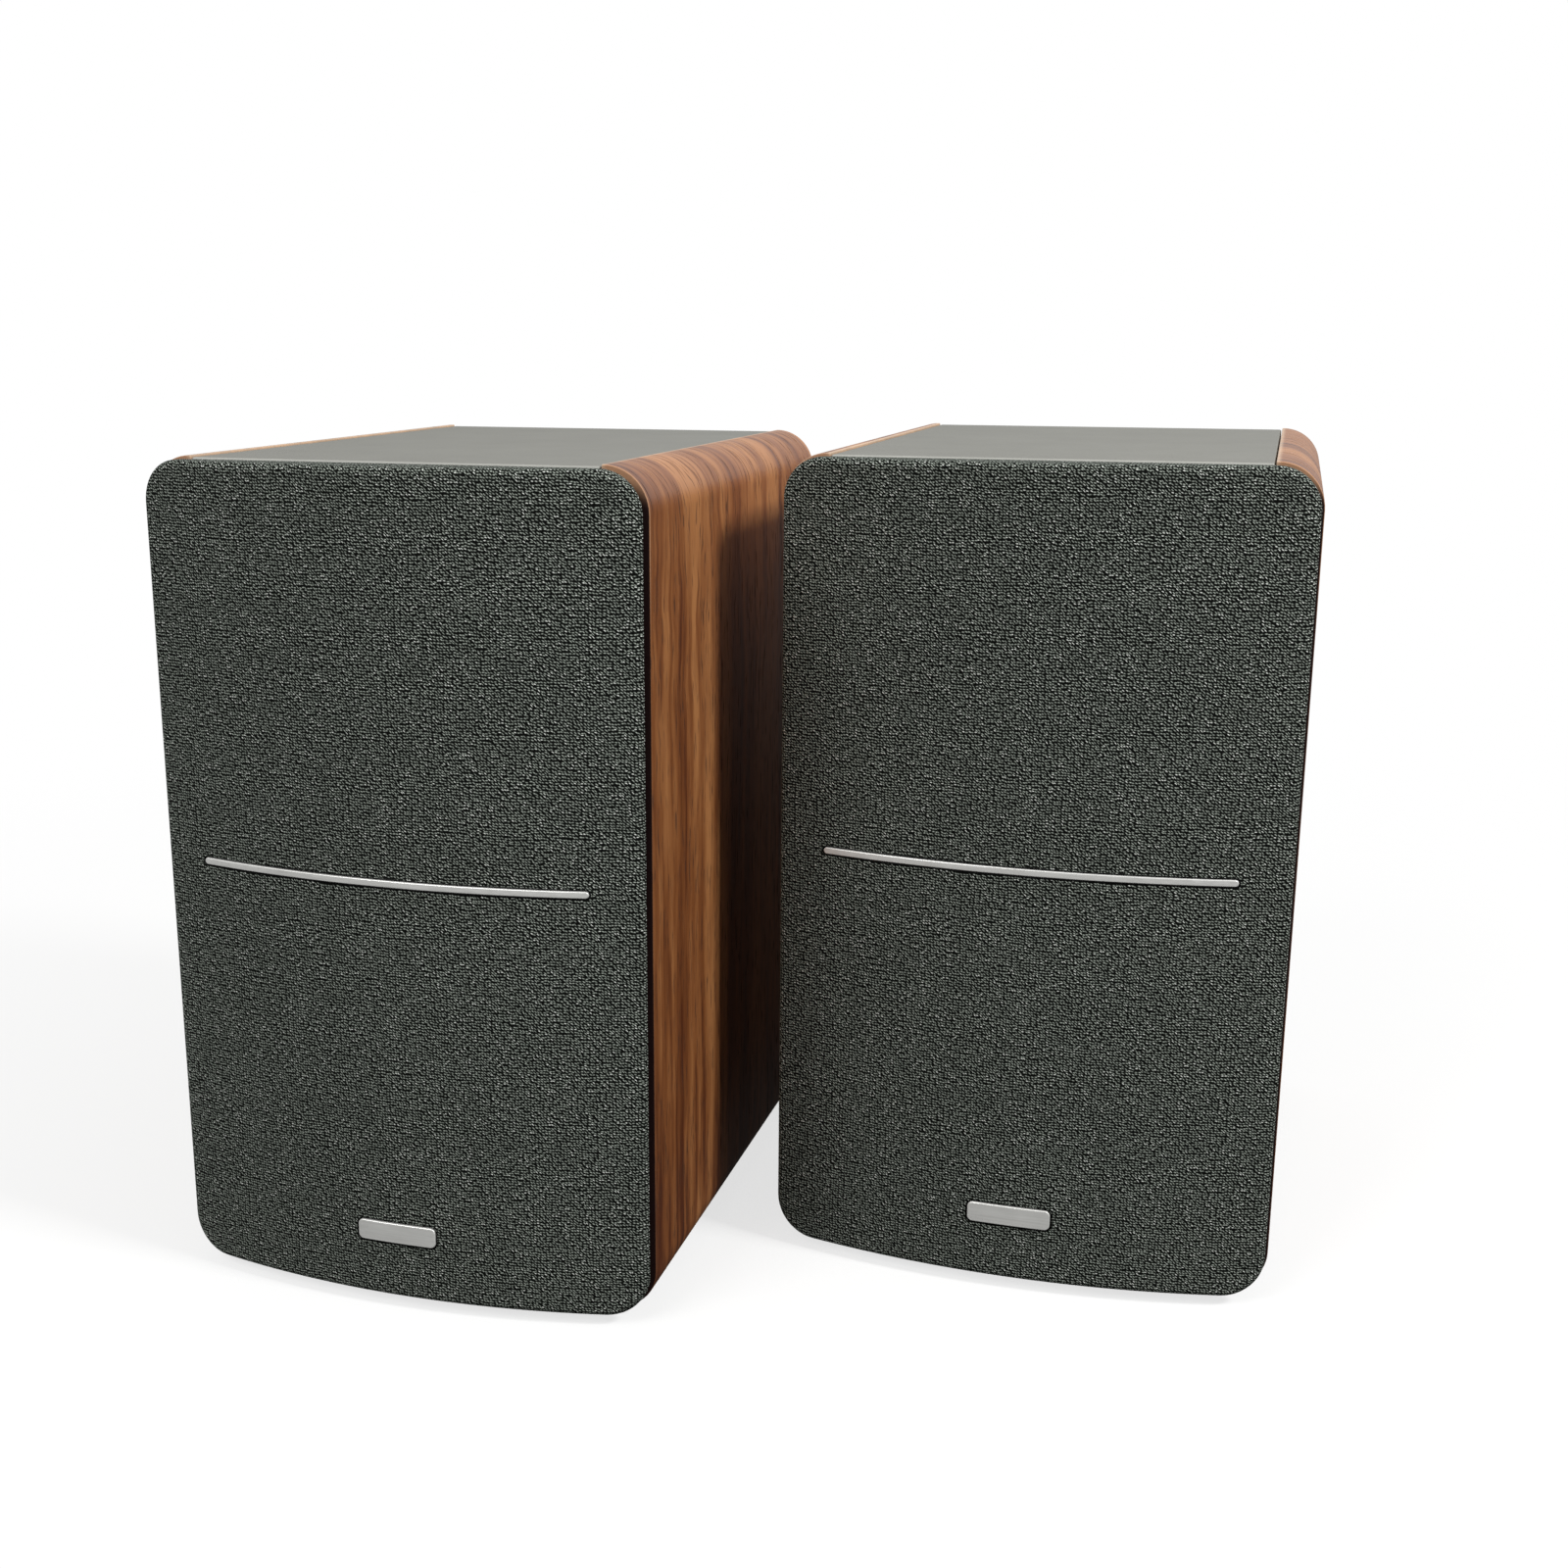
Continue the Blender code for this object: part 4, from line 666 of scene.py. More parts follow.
def walnut(speaker):
    """Lacquered walnut veneer, with painted highlights and painted shade along this speaker's edges."""
    finish = Finish(f"{speaker.name} walnut veneer", Specular_IOR_Level=0.4, Coat_Roughness=0.3)
    place = finish.place
    grain = walnut_grain(place, speaker)
    layers = {name: grain_layer(grain, **setting) for name, setting in GRAIN_LAYERS.items()}
    pores = layers["pores"]
    height = place.axis("Z")
    behind = place.axis("Y") - speaker.front
    # Painted highlight on the front arris, strongest near the top.
    highlit_arris = (1 - behind.between(0.0, ARRIS_HIGHLIGHT_WIDTH)) * height.between(*ARRIS_HIGHLIGHT_HEIGHTS).scaled(*ARRIS_HIGHLIGHT_SHARES)
    # Cut front edge: partly a dark stain and partly painted shade, lifted near the top.
    stain_and_shade = (1 - behind.between(0.0, STAIN_AND_SHADE_WIDTH)) * height.between(*STAIN_AND_SHADE_HEIGHTS).scaled(*STAIN_AND_SHADE_SHARES)
    beside = (place.axis("X") - speaker.middle).size() - speaker.half_top
    # Painted highlight along the top edge, where the wood meets the lid.
    lid_line_highlight = (1 - beside.between(0.0, LID_LINE_HIGHLIGHT_WIDTH)) * height.between(speaker.top - LID_LINE_HIGHLIGHT_WIDTH, speaker.top)
    colour = walnut_tone(place, grain, layers).ramp(*WALNUT_TONES)
    colour = (pores * PORE_SHARE).mixed(colour, PORE_COLOUR)
    # The painted highlights, and the stain with its painted shade, are mixed into the colour.
    colour = highlit_arris.mixed(colour, ARRIS_HIGHLIGHT_COLOUR)
    colour = (lid_line_highlight * LID_LINE_HIGHLIGHT_SHARE).mixed(colour, LID_LINE_HIGHLIGHT_COLOUR)
    colour = stain_and_shade.mixed(colour, STAIN_AND_SHADE_COLOUR)
    roughness = layers["lines"].scaled(WALNUT_ROUGHNESS, LINE_ROUGHNESS)
    roughness = roughness + pores * PORE_ROUGHNESS + stain_and_shade * STAIN_AND_SHADE_ROUGHNESS
    normal = (layers["lines"] * LINE_HEIGHT - pores).bump(*WALNUT_RELIEF)
    lacquer = pores.scaled(*LACQUER) * (1 - stain_and_shade)
    return finish.feed(Base_Color=colour, Roughness=roughness, Normal=normal, Coat_Weight=lacquer)


WALNUT = {speaker.name: walnut(speaker) for speaker in SPEAKERS}
print("walnut finishes:", sorted(WALNUT))

# %% [markdown]
# Each side panel is a board with its two long outer edges turned to a quarter round, almost as large as
# the board is thick. A block gets a many-stepped bevel on those edges, then a tiny one on all the others.
# The right speaker's outer panel is also let in for the control dish, in two steps, as a router would.

# %% Side panels
PANEL_ROUND = 12.5 * MM
PANEL_ROUND_STEPS = 14
ARRIS = 0.3 * MM
DISH_SEAM = 0.3 * MM
DISH_REBATE = 1.8 * MM
DISH_LEDGE = 3.4 * MM
ROUND_STEPS = 20
SPARE = 5 * MM


def let_in_dish(panel):
    """Cuts the rebate for the flange of the control dish, and the opening behind it."""
    low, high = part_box("right_control_panel")
    outside = high.x
    radius = (high.y - low.y) / 2
    for name, depth, margin in (
        ("rebate_cutter", DISH_REBATE, DISH_SEAM),
        ("opening_cutter", high.x - low.x + SPARE, -DISH_LEDGE),
    ):
        first = (outside - depth, low.y - margin, low.z - margin)
        last = (outside + SPARE, high.y + margin, high.z + margin)
        cut(panel, rounded_block(name, first, last, X_AXIS, radius + margin - TINY, ROUND_STEPS))


def side_panel(speaker, side, outward):
    """A veneered side board. outward is the way its rounded face looks along X."""
    node = speaker.node(f"side_panel_{side}")
    low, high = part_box(node)
    face = high.x if outward > 0 else low.x
    panel = block(f"{node}_veneered", low, high)
    along = runs_along(Y_AXIS)

    def is_rounded(edge):
        """Whether an edge is one of the two long outer ones."""
        return along(edge) and abs(edge_middle(edge).x - face) < TINY

    round_edges(panel, PANEL_ROUND, PANEL_ROUND_STEPS, is_rounded)
    soften(panel, ARRIS)
    if node == "right_side_panel_outer":
        let_in_dish(panel)
    dress(panel, WALNUT[speaker.name], "walnut_veneer", speaker.cabinet, node)


for speaker in SPEAKERS:
    side_panel(speaker, "outer", speaker.outward)
    side_panel(speaker, "inner", -speaker.outward)

# %% [markdown]
# The top and bottom are boards wrapped in grey vinyl film. The film is even in colour with a very fine
# grain, so a little mottling and a small bump are enough. The top lies a hair lower than the wood beside
# it. Its edges get a slim round, and the front one is painted pale, partly as worn film and partly as a
# painted highlight, which shows as a bright line.

# %% Vinyl finish, top and bottom panels
VINYL_TONES = ((0.3, (0.152, 0.151, 0.133)), (0.7, (0.190, 0.189, 0.168)))
VINYL_MOTTLE = {"scale": 60.0, "detail": 3.0}
VINYL_DRAWN = (30, 900, 900)
VINYL_GRAIN = {"scale": 1900.0, "roughness": 0.6}
VINYL_SPECK = {"scale": 5200.0, "detail": 1.0}
VINYL_SHARES = (0.35, 0.25, 0.25, 0.15)
# Pale front edge: partly wear and partly a painted highlight.
FILM_WEAR_AND_HIGHLIGHT_COLOUR = (0.36, 0.36, 0.33, 1.0)
FILM_WEAR_AND_HIGHLIGHT_BAND = (0.28 * MM, 0.7 * MM)
FILM_WEAR_AND_HIGHLIGHT_SHARES = (0.5, 0.5)
VINYL_ROUGHNESS = (0.46, 0.16)
SPECK_HEIGHT = 0.5
VINYL_RELIEF = (0.04 * MM, 0.6)
VINYL_EDGE = 0.6 * MM
VINYL_EDGE_STEPS = 3
TOP_SUNK = 0.5 * MM


def blended(layers, shares):
    """The sum of some layers, each with its share."""
    return sum(layer * share for layer, share in zip(layers, shares))


def vinyl(speaker):
    """Matt grey vinyl film with a fine pressed grain, with wear and a painted highlight on the front edge.
    """
    finish = Finish(f"{speaker.name} grey vinyl film", Specular_IOR_Level=0.4)
    mottle = finish.place.noise(**VINYL_MOTTLE)
    drawn = finish.place.stretched(*VINYL_DRAWN).noise()
    grain = finish.place.noise(**VINYL_GRAIN)
    speck = finish.place.noise(**VINYL_SPECK)
    colour = blended((mottle, drawn, grain, speck), VINYL_SHARES).ramp(*VINYL_TONES)
    # Pale front edge: partly wear and partly a painted highlight.
    wear_and_highlight = 1 - (finish.place.axis("Y") - speaker.front).between(*FILM_WEAR_AND_HIGHLIGHT_BAND)
    colour = (wear_and_highlight * mottle.scaled(*FILM_WEAR_AND_HIGHLIGHT_SHARES)).mixed(colour, FILM_WEAR_AND_HIGHLIGHT_COLOUR)
    normal = (grain + speck * SPECK_HEIGHT).bump(*VINYL_RELIEF)
    return finish.feed(Base_Color=colour, Roughness=grain.scaled(*VINYL_ROUGHNESS), Normal=normal)


for speaker in SPEAKERS:
    film = vinyl(speaker)
    for side, sunk in (("top_panel", TOP_SUNK), ("bottom_panel", 0.0)):
        node = speaker.node(side)
        low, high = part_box(node)
        board = block(f"{node}_wrapped", low, high - Vector((0.0, 0.0, sunk)))
        soften(board, VINYL_EDGE, VINYL_EDGE_STEPS)
        dress(board, film, "grey_vinyl", speaker.cabinet, node)

# %% [markdown]
# The grille cloth is a fine crepe: each thread shows as a short tilted dash with dark pits round it, and
# no two dashes are quite alike. The dark of the pits is partly painted shade, and the bright crowns of
# the dashes are partly a painted highlight. A Voronoi pattern gives each dash its middle and its own
# chance values, and the distance from that middle shapes it. The pattern is read from the flat cut of the
# cover, a little drifting, and it drives the colour, the painted glints and the bump.

# %% Cloth finish
DASH_WIDTH = 0.86 * MM
DASH_HEIGHT = 0.81 * MM
DASH_RANDOM = 0.5
DASH_TILT = 0.45
DASH_SWING = 1.1
DASH_SLIM = 1.8
DASH_ROUND = 0.9
DASH_REACH = 0.8
DASH_SHARES = (0.70, 0.30)
LEAN = {"scale": 50.0, "detail": 1.0}
LEAN_REACH = 1.6
DRIFT = {"scale": 60.0, "detail": 1.0}
DRIFT_REACH = 1.8
FIBRE_STRETCH = (2400, 4200, 1)
FIBRE_SHARE = 0.2
FIBRE_HEIGHT = 0.25
SHADE = {"scale": 26.0, "detail": 3.0, "roughness": 0.6}
SHADE_SHARE = 0.05
# The darkest stop is partly painted shade in the pits, the lightest partly a painted highlight on crowns.
CLOTH_TONES_WITH_PAINTED_LIGHT = (
    (0.03, (0.0016, 0.0019, 0.0014)),
    (0.34, (0.038, 0.044, 0.0370)),
    (0.92, (0.395, 0.436, 0.382)),
)
# The glints are a painted highlight.
GLINT_COLOUR = (0.80, 0.82, 0.77, 1.0)
GLINT_CHANCE = (0.86, 0.94)
GLINT_CROWN = (0.5, 0.9)
GLINT_SHARE = 0.9
CLOTH_ROUGHNESS = (0.82, -0.4)
CLOTH_RELIEF = (0.12 * MM, 0.85)


def crepe():
    """Dark crepe-woven cloth, read from the flat cut of the cover."""
    finish = Finish("grey crepe cloth", Specular_IOR_Level=0.08)
    flat = finish.flat
    lean = flat.stretched(1, -1, 1).noise(**LEAN).centred()
    drift = flat.noise(**DRIFT).centred()
    across = flat.axis("X") / DASH_WIDTH + lean * LEAN_REACH
    upward = flat.axis("Y") / DASH_HEIGHT + drift * DRIFT_REACH
    place = flat.vector(across, upward, 0.0)
    cells = {"Vector": place, "Scale": 1.0, "Randomness": DASH_RANDOM}
    pattern = {"voronoi_dimensions": "2D"}
    chance = place.node("ShaderNodeTexVoronoi", pattern, cells, "Color")
    middle = place.node("ShaderNodeTexVoronoi", pattern, cells, "Position")
    aside = across - middle.axis("X")
    turn = chance.axis("Z").centred() * DASH_SWING + DASH_TILT
    above = (upward - middle.axis("Y") + aside * turn) * DASH_SLIM
    reach = (aside * aside * DASH_ROUND + above * above) ** 0.5
    dash = 1 - reach.between(0.0, DASH_REACH)
    fibre = flat.stretched(*FIBRE_STRETCH).noise()
    shade = flat.noise(**SHADE).centred()
    # Dark pits round each dash are partly painted shade, and bright crowns partly a painted highlight.
    tone = dash * chance.axis("X").scaled(*DASH_SHARES) + shade * SHADE_SHARE + fibre.centred() * FIBRE_SHARE
    # Painted glints: a painted highlight on the crowns of a few dashes.
    glint = chance.axis("Y").between(*GLINT_CHANCE) * dash.between(*GLINT_CROWN)
    colour = (glint * GLINT_SHARE).mixed(tone.ramp(*CLOTH_TONES_WITH_PAINTED_LIGHT), GLINT_COLOUR)
    normal = (dash + fibre * FIBRE_HEIGHT).bump(*CLOTH_RELIEF)
    return finish.feed(Base_Color=colour, Roughness=glint.scaled(*CLOTH_ROUGHNESS), Normal=normal)


CREPE = crepe()
print("cloth dash in mm:", DASH_WIDTH / MM, "by", DASH_HEIGHT / MM)

# %% [markdown]
# The cover is one piece of cloth stretched over a bowed frame. It starts as a flat block with round
# corners and rolled edges. Its back face is deleted, it is sliced upright, and each slice is moved
# forward on to the bow. The flat cut is kept as a UV map, so that the weave runs on round the edge.

# %% Grille covers
GRILLE_EDGE = 2.8 * MM
GRILLE_CORNER = 11.75 * MM
GRILLE_ROLL = 1.9 * MM
GRILLE_TUCK = 0.8 * MM
ROLL_STEPS = 6
CLOTH_THICKNESS = 0.6 * MM
SLICE_WIDTH = 4 * MM
CORNER_STEPS = 12


class Bow:
    """The bow of one speaker's grille, as a round cylinder with an upright axis."""

    def __init__(self, speaker):
        low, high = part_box(speaker.node("grille_cloth"))
        self.middle = speaker.middle
        self.half_width = (high.x - low.x) / 2
        self.edge = high.y - GRILLE_EDGE
        self.rise = self.edge - low.y
        self.radius = (self.half_width**2 + self.rise**2) / (2 * self.rise)

    def forward(self, x):
        """How far the bow stands in front of its edge."""
        across = min(abs(x - self.middle), self.half_width)
        return math.sqrt(self.radius**2 - across**2) - (self.radius - self.rise)

    def length(self):
        """How long the bow is from edge to edge."""
        return 2 * self.radius * math.asin(self.half_width / self.radius)

    def area(self):
        """The area between the bow and the straight line from edge to edge."""
        return (self.length() * self.radius - 2 * self.half_width * (self.radius - self.rise)) / 2

    def slices(self, width):
        """Places of the upright slices over a width."""
        count = round(width / SLICE_WIDTH / 2)
        return [self.middle + step * SLICE_WIDTH for step in range(-count, count + 1)]

    def curve(self, piece, moves):
        """Slices a flat piece and moves the points that pass the test on to the bow."""
        low = min(point.co.x for point in piece.data.vertices)
        high = max(point.co.x for point in piece.data.vertices)
        inside = [place for place in self.slices(high - low) if low + TINY < place < high - TINY]
        slice_across(piece, X_AXIS, inside)
        for point in piece.data.vertices:
            if moves(point.co):
                point.co.y -= self.forward(point.co.x)


def flat_cut(point, low, high, bow):
    """The place of a point of the cover on the flat cloth, before its edge is rolled over."""
    middle = Vector(((low.x + high.x) / 2, (low.z + high.z) / 2))
    core = Vector(((high.x - low.x) / 2 - GRILLE_CORNER, (high.z - low.z) / 2 - GRILLE_CORNER))
    place = Vector((point.x, point.z)) - middle
    near = Vector((max(-core.x, min(core.x, place.x)), max(-core.y, min(core.y, place.y))))
    outward = place - near
    depth = point.y - bow.edge
    if depth < TINY or outward.length < TINY:
        return place
    turned = math.acos(max(-1.0, 1 - min(depth, GRILLE_ROLL) / GRILLE_ROLL))
    rolled = GRILLE_ROLL * turned
    if depth > GRILLE_ROLL + TINY:
        rolled += depth - GRILLE_ROLL + bow.forward(point.x)
    return near + outward.normalized() * (GRILLE_CORNER - GRILLE_ROLL + rolled)


def grille_cover(speaker):
    """The bowed cover of one speaker, as a thin closed sheet with its flat cut as a UV map."""
    low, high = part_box(speaker.node("grille_cloth"))
    bow = Bow(speaker)
    cover = rounded_block(
        speaker.node("grille_cover"), (low.x, bow.edge, low.z), high, Y_AXIS, GRILLE_CORNER, CORNER_STEPS
    )
    round_edges(cover, GRILLE_ROLL, ROLL_STEPS, lies_at(Y_AXIS, bow.edge))
    round_edges(cover, GRILLE_TUCK, ROLL_STEPS, lies_at(Y_AXIS, high.y))
    choose(cover, "FACE", lambda face: face.normal.y > NEARLY_ONE)
    bpy.ops.mesh.delete(type="FACE")
    slice_across(cover, X_AXIS, bow.slices(high.x - low.x - GRILLE_CORNER))
    cover.data.uv_layers.remove(cover.data.uv_layers.active)
    layer = cover.data.uv_layers.new(name="flat_cut")
    for corner in cover.data.loops:
        layer.data[corner.index].uv = flat_cut(cover.data.vertices[corner.vertex_index].co, low, high, bow)
    for point in cover.data.vertices:
        if point.co.y < high.y - GRILLE_TUCK - TINY:
            point.co.y -= bow.forward(point.co.x)
    apply_modifier(cover, "SOLIDIFY", thickness=CLOTH_THICKNESS, offset=-1.0, use_even_offset=True)
    return cover


COVERS = {speaker.name: grille_cover(speaker) for speaker in SPEAKERS}
print("covers made:", sorted(COVERS))

# %% [markdown]
# The bars, the small plates, the plated sockets and the screws are bright metal with a satin skin. Noise
# that is drawn out along one axis gives fine brush marks. Where a piece is plated and not brushed, the
# same noise is left even.

# %% Satin metal finish
METAL_TONES = ((0.25, (0.68, 0.68, 0.65)), (0.75, (0.92, 0.92, 0.89)))
METAL_BRUSH = {"detail": 3.0, "roughness": 0.6}
METAL_CLOUD = 90.0
METAL_SHARES = (0.6, 0.4)
METAL_ROUGHNESS = (0.26, 0.16)
METAL_RELIEF = (0.015 * MM, 0.5)
BRUSHED = (40, 2500, 2500)
PLATED = (900, 900, 900)
COLD_FORMED = (1500, 1500, 1500)


def satin_metal(name, stretch):
    """Silver lacquered metal with a fine skin, which is stretched along one axis where it is brushed."""
    finish = Finish(name, Metallic=0.4)
    brush = finish.place.stretched(*stretch).noise(**METAL_BRUSH)
    cloud = finish.place.noise(METAL_CLOUD)
    colour = blended((brush, cloud), METAL_SHARES).ramp(*METAL_TONES)
    normal = brush.bump(*METAL_RELIEF)
    return finish.feed(Base_Color=colour, Roughness=brush.scaled(*METAL_ROUGHNESS), Normal=normal)


SATIN = satin_metal("satin aluminium", BRUSHED)
BRIGHT_METAL = satin_metal("nickel plate", PLATED)
SCREW_STEEL = satin_metal("screw steel", COLD_FORMED)
print("metal finishes ready")

# %% [markdown]
# A slim satin bar crosses each cover, let into a slot with a hair of shadow round it. A small bare plate
# sits low on the cover in the same way. Both are flat plates with round ends, softened along the front
# edge, then sliced and moved on to the same bow as the cloth.

# %% Trim bars and bare plates
TRIM_SEAM = 0.6 * MM
TRIM_SLIM = 0.22 * MM
TRIM_PROUD = 0.3 * MM
TRIM_DEPTH = 0.7 * MM
TRIM_SOFT = 0.25 * MM
TRIM_SOFT_STEPS = 3
PLATE_WIDTH = 24 * MM
PLATE_HEIGHT = 6 * MM
PLATE_MIDDLE = 23.4 * MM
PLATE_CORNER = 1.6 * MM


def inlaid_bar(speaker, name, low, high, corner):
    """A thin plate with round corners on the bow of the grille, and the slot that it sits in."""
    bow = Bow(speaker)
    front = bow.edge - TRIM_PROUD
    back = bow.edge + TRIM_DEPTH
    first = (low.x, front, low.z)
    last = (high.x, back, high.z)
    bar = rounded_block(name, first, last, Y_AXIS, corner - TINY, ROLL_STEPS)
    round_edges(bar, TRIM_SOFT, TRIM_SOFT_STEPS, lies_at(Y_AXIS, front))
    bow.curve(bar, lambda point: True)
    first = (low.x - TRIM_SEAM, bow.edge - bow.rise - SPARE, low.z - TRIM_SEAM)
    last = (high.x + TRIM_SEAM, bow.edge + SPARE, high.z + TRIM_SEAM)
    slot = rounded_block("slot_cutter", first, last, Y_AXIS, corner + TRIM_SEAM - TINY, ROLL_STEPS)
    cut(COVERS[speaker.name], slot)
    return bar


for speaker in SPEAKERS:
    node = speaker.node("grille_trim")
    low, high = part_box(node)
    low.z += TRIM_SLIM
    high.z -= TRIM_SLIM
    bar = inlaid_bar(speaker, speaker.node("trim_bar"), low, high, (high.z - low.z) / 2)
    dress(bar, SATIN, "satin_metal", speaker.grille, node)
    corner = Vector((PLATE_WIDTH, 0.0, PLATE_HEIGHT)) / 2
    centre = Vector((speaker.middle, 0.0, PLATE_MIDDLE))
    plate = inlaid_bar(speaker, speaker.node("bare_plate"), centre - corner, centre + corner, PLATE_CORNER)
    dress(plate, SATIN, "satin_metal", speaker.grille)

# %% [markdown]
# The covers are now complete with their slots, so they get their cloth. The size of each one's flat cut is
# worked out and printed.

# %% Dress the covers
for speaker in SPEAKERS:
    cover = COVERS[speaker.name]
    node = speaker.node("grille_cloth")
    low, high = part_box(node)
    dress(cover, CREPE, "grille_cloth", speaker.grille, node)
    bow = Bow(speaker)
    width = bow.length() + 2 * GRILLE_EDGE
    height = high.z - low.z + 2 * GRILLE_EDGE
    area = width * height + 2 * bow.area()
    flat_size = (width, height + 2 * bow.rise)
    speaker.node("grille_frame")
    print(cover.name, "flat cut in mm:", [round(size / MM) for size in flat_size])

# %% [markdown]
# Plastic, rubber, coated board and powder-coated steel share one idea: an even colour with a slight
# mottle and a fine skin that scatters the light. One function makes them all, and each gets its own
# colour, grain size and depth of skin.

# %% Moulded and coated finishes
SKIN_MOTTLE = {"scale": 45.0, "detail": 3.0}
SKIN_DETAIL = {"detail": 2.0, "roughness": 0.6}
SKIN_SHARES = (0.5, 0.5)
SKIN_STOPS = (0.3, 0.7)
SKIN_ROUGHNESS = 0.2
SKIN_STRENGTH = 0.6


def skinned(name, low, high, grain, roughness, relief):
    """An even material with a fine textured skin. grain is the number of grains in a metre."""
    finish = Finish(name, Specular_IOR_Level=0.45)
    mottle = finish.place.noise(**SKIN_MOTTLE)
    skin = finish.place.noise(grain, **SKIN_DETAIL)
    colour = blended((mottle, skin), SKIN_SHARES).ramp(*zip(SKIN_STOPS, (low, high)))
    rough = skin.scaled(roughness - SKIN_ROUGHNESS / 2, SKIN_ROUGHNESS)
    return finish.feed(Base_Color=colour, Roughness=rough, Normal=skin.bump(relief, SKIN_STRENGTH))


BLACK_PLASTIC = skinned(
    "black moulded plastic",
    low=(0.013, 0.013, 0.013),
    high=(0.024, 0.024, 0.024),
    grain=2800,
    roughness=0.45,
    relief=0.03 * MM,
)
RED_PLASTIC = skinned(
    "red moulded plastic",
    low=(0.36, 0.010, 0.010),
    high=(0.48, 0.020, 0.016),
    grain=2200,
    roughness=0.40,
    relief=0.02 * MM,
)
WHITE_PLASTIC = skinned(
    "white moulded plastic",
    low=(0.66, 0.66, 0.63),
    high=(0.76, 0.76, 0.73),
    grain=2200,
    roughness=0.40,
    relief=0.02 * MM,
)
BLACK_BOARD = skinned(
    "black film on board",
    low=(0.020, 0.020, 0.019),
    high=(0.036, 0.036, 0.034),
    grain=1300,
    roughness=0.58,
    relief=0.06 * MM,
)
BLACK_STEEL = skinned(
    "black powder coat",
    low=(0.015, 0.015, 0.016),
    high=(0.031, 0.031, 0.033),
    grain=1700,
    roughness=0.50,
    relief=0.07 * MM,
)
RUBBER = skinned(
    "black rubber",
    low=(0.015, 0.015, 0.015),
    high=(0.030, 0.029, 0.029),
    grain=3400,
    roughness=0.66,
    relief=0.03 * MM,
)
print("moulded and coated finishes ready")

# %% [markdown]
# Behind the grille are flat boards and the moulded frame. Their solids are already right, so they keep
# their shapes and only get their finishes. The two foot strips are rounder than their solids, so each is
# modelled again with full round ends and a soft lower edge.

# %% Boards, frames and feet
FOOT_SOFT = 0.5 * MM

for speaker in SPEAKERS:
    dress_node(speaker.node("front_baffle"), BLACK_BOARD)
    dress_node(speaker.node("back_panel"), BLACK_BOARD)
    dress_node(speaker.node("grille_frame"), BLACK_PLASTIC)
    for node in (speaker.node("front_foot"), speaker.node("rear_foot")):
        low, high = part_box(node)
        foot = rounded_block(f"{node}_strip", low, high, Z_AXIS, (high.y - low.y) / 2 - TINY, ROUND_STEPS)
        soften(foot, FOOT_SOFT)
        dress(foot, RUBBER, "rubber", speaker.cabinet, node)

# %% [markdown]
# Cones, domes, ports, knobs and screws are turned shapes. On a lathe one follows a profile. Here a circle
# is extruded ring by ring, each time lifted and scaled to the next radius, which gives full control of
# every ring. The finished shape is then laid over so that its axis looks the right way.

# %% Turned shapes
FORWARD = (math.pi / 2, 0.0, 0.0)
BACKWARD = (-math.pi / 2, 0.0, 0.0)
RIGHTWARD = (0.0, math.pi / 2, 0.0)
TURN_STEPS = 80
WELD = 0.000001


def turned(name, rings, place, turn, steps=TURN_STEPS):
    """A shape of revolution from (radius, height) rings. It closes on itself if it ends where it began."""
    clear_selection()
    bpy.ops.mesh.primitive_circle_add(vertices=steps, radius=rings[0][0])
    bpy.ops.object.mode_set(mode="EDIT")
    bpy.ops.mesh.select_all(action="SELECT")
    is_loop = rings[0] == rings[-1]
    if not is_loop:
        bpy.ops.mesh.edge_face_add()
        bpy.ops.mesh.select_all(action="SELECT")
    bpy.ops.transform.translate(value=(0.0, 0.0, rings[0][1]))
    bpy.ops.mesh.select_mode(type="EDGE")
    for (radius, height), (next_radius, next_height) in zip(rings, rings[1:]):
        lift = {"value": (0.0, 0.0, next_height - height)}
        bpy.ops.mesh.extrude_edges_move(TRANSFORM_OT_translate=lift)
        grow = next_radius / radius
        bpy.ops.transform.resize(value=(grow, grow, 1.0), center_override=(0.0, 0.0, next_height))
    if not is_loop:
        bpy.ops.mesh.edge_face_add()
    bpy.ops.mesh.select_all(action="SELECT")
    bpy.ops.mesh.remove_doubles(threshold=WELD)
    bpy.ops.mesh.normals_make_consistent(inside=False)
    bpy.ops.object.mode_set(mode="OBJECT")
    bpy.context.object.rotation_euler = turn
    bpy.context.object.location = place
    return settle(name)


def millimetres(*rings):
    """Rings given in millimetres, as they are on a drawing."""
    return [(radius * MM, height * MM) for radius, height in rings]


def arc_rings(middle, base, half_width, rise, steps):
    """Rings over a half roll, from its inner side to its outer side."""
    angles = [math.pi * (1 - step / steps) for step in range(steps + 1)]
    return [(middle + half_width * math.cos(angle), base + rise * math.sin(angle)) for angle in angles]


print("turned shapes have", TURN_STEPS, "sides")

# %% [markdown]
# The woofer's cone is pressed paper pulp: dark, matt, with short fibres and faint rings from the mould.
# The rings are a wave of the distance from the cone's own axis, so each cone gets its own copy of the
# finish.

# %% Paper finish
PULP_TONES = ((0.3, (0.009, 0.009, 0.009)), (0.75, (0.032, 0.031, 0.029)))
PULP_RINGS = 2600
PULP_STRETCH = (900, 900, 2600)
PULP_FIBRE = {"detail": 3.0, "roughness": 0.65}
PULP_CLOUD = {"scale": 120.0, "detail": 3.0}
PULP_SHARES = (0.6, 0.4)
PULP_ROUGHNESS = (0.68, 0.2)
RING_HEIGHT = 0.15
PULP_RELIEF = (0.06 * MM, 0.7)


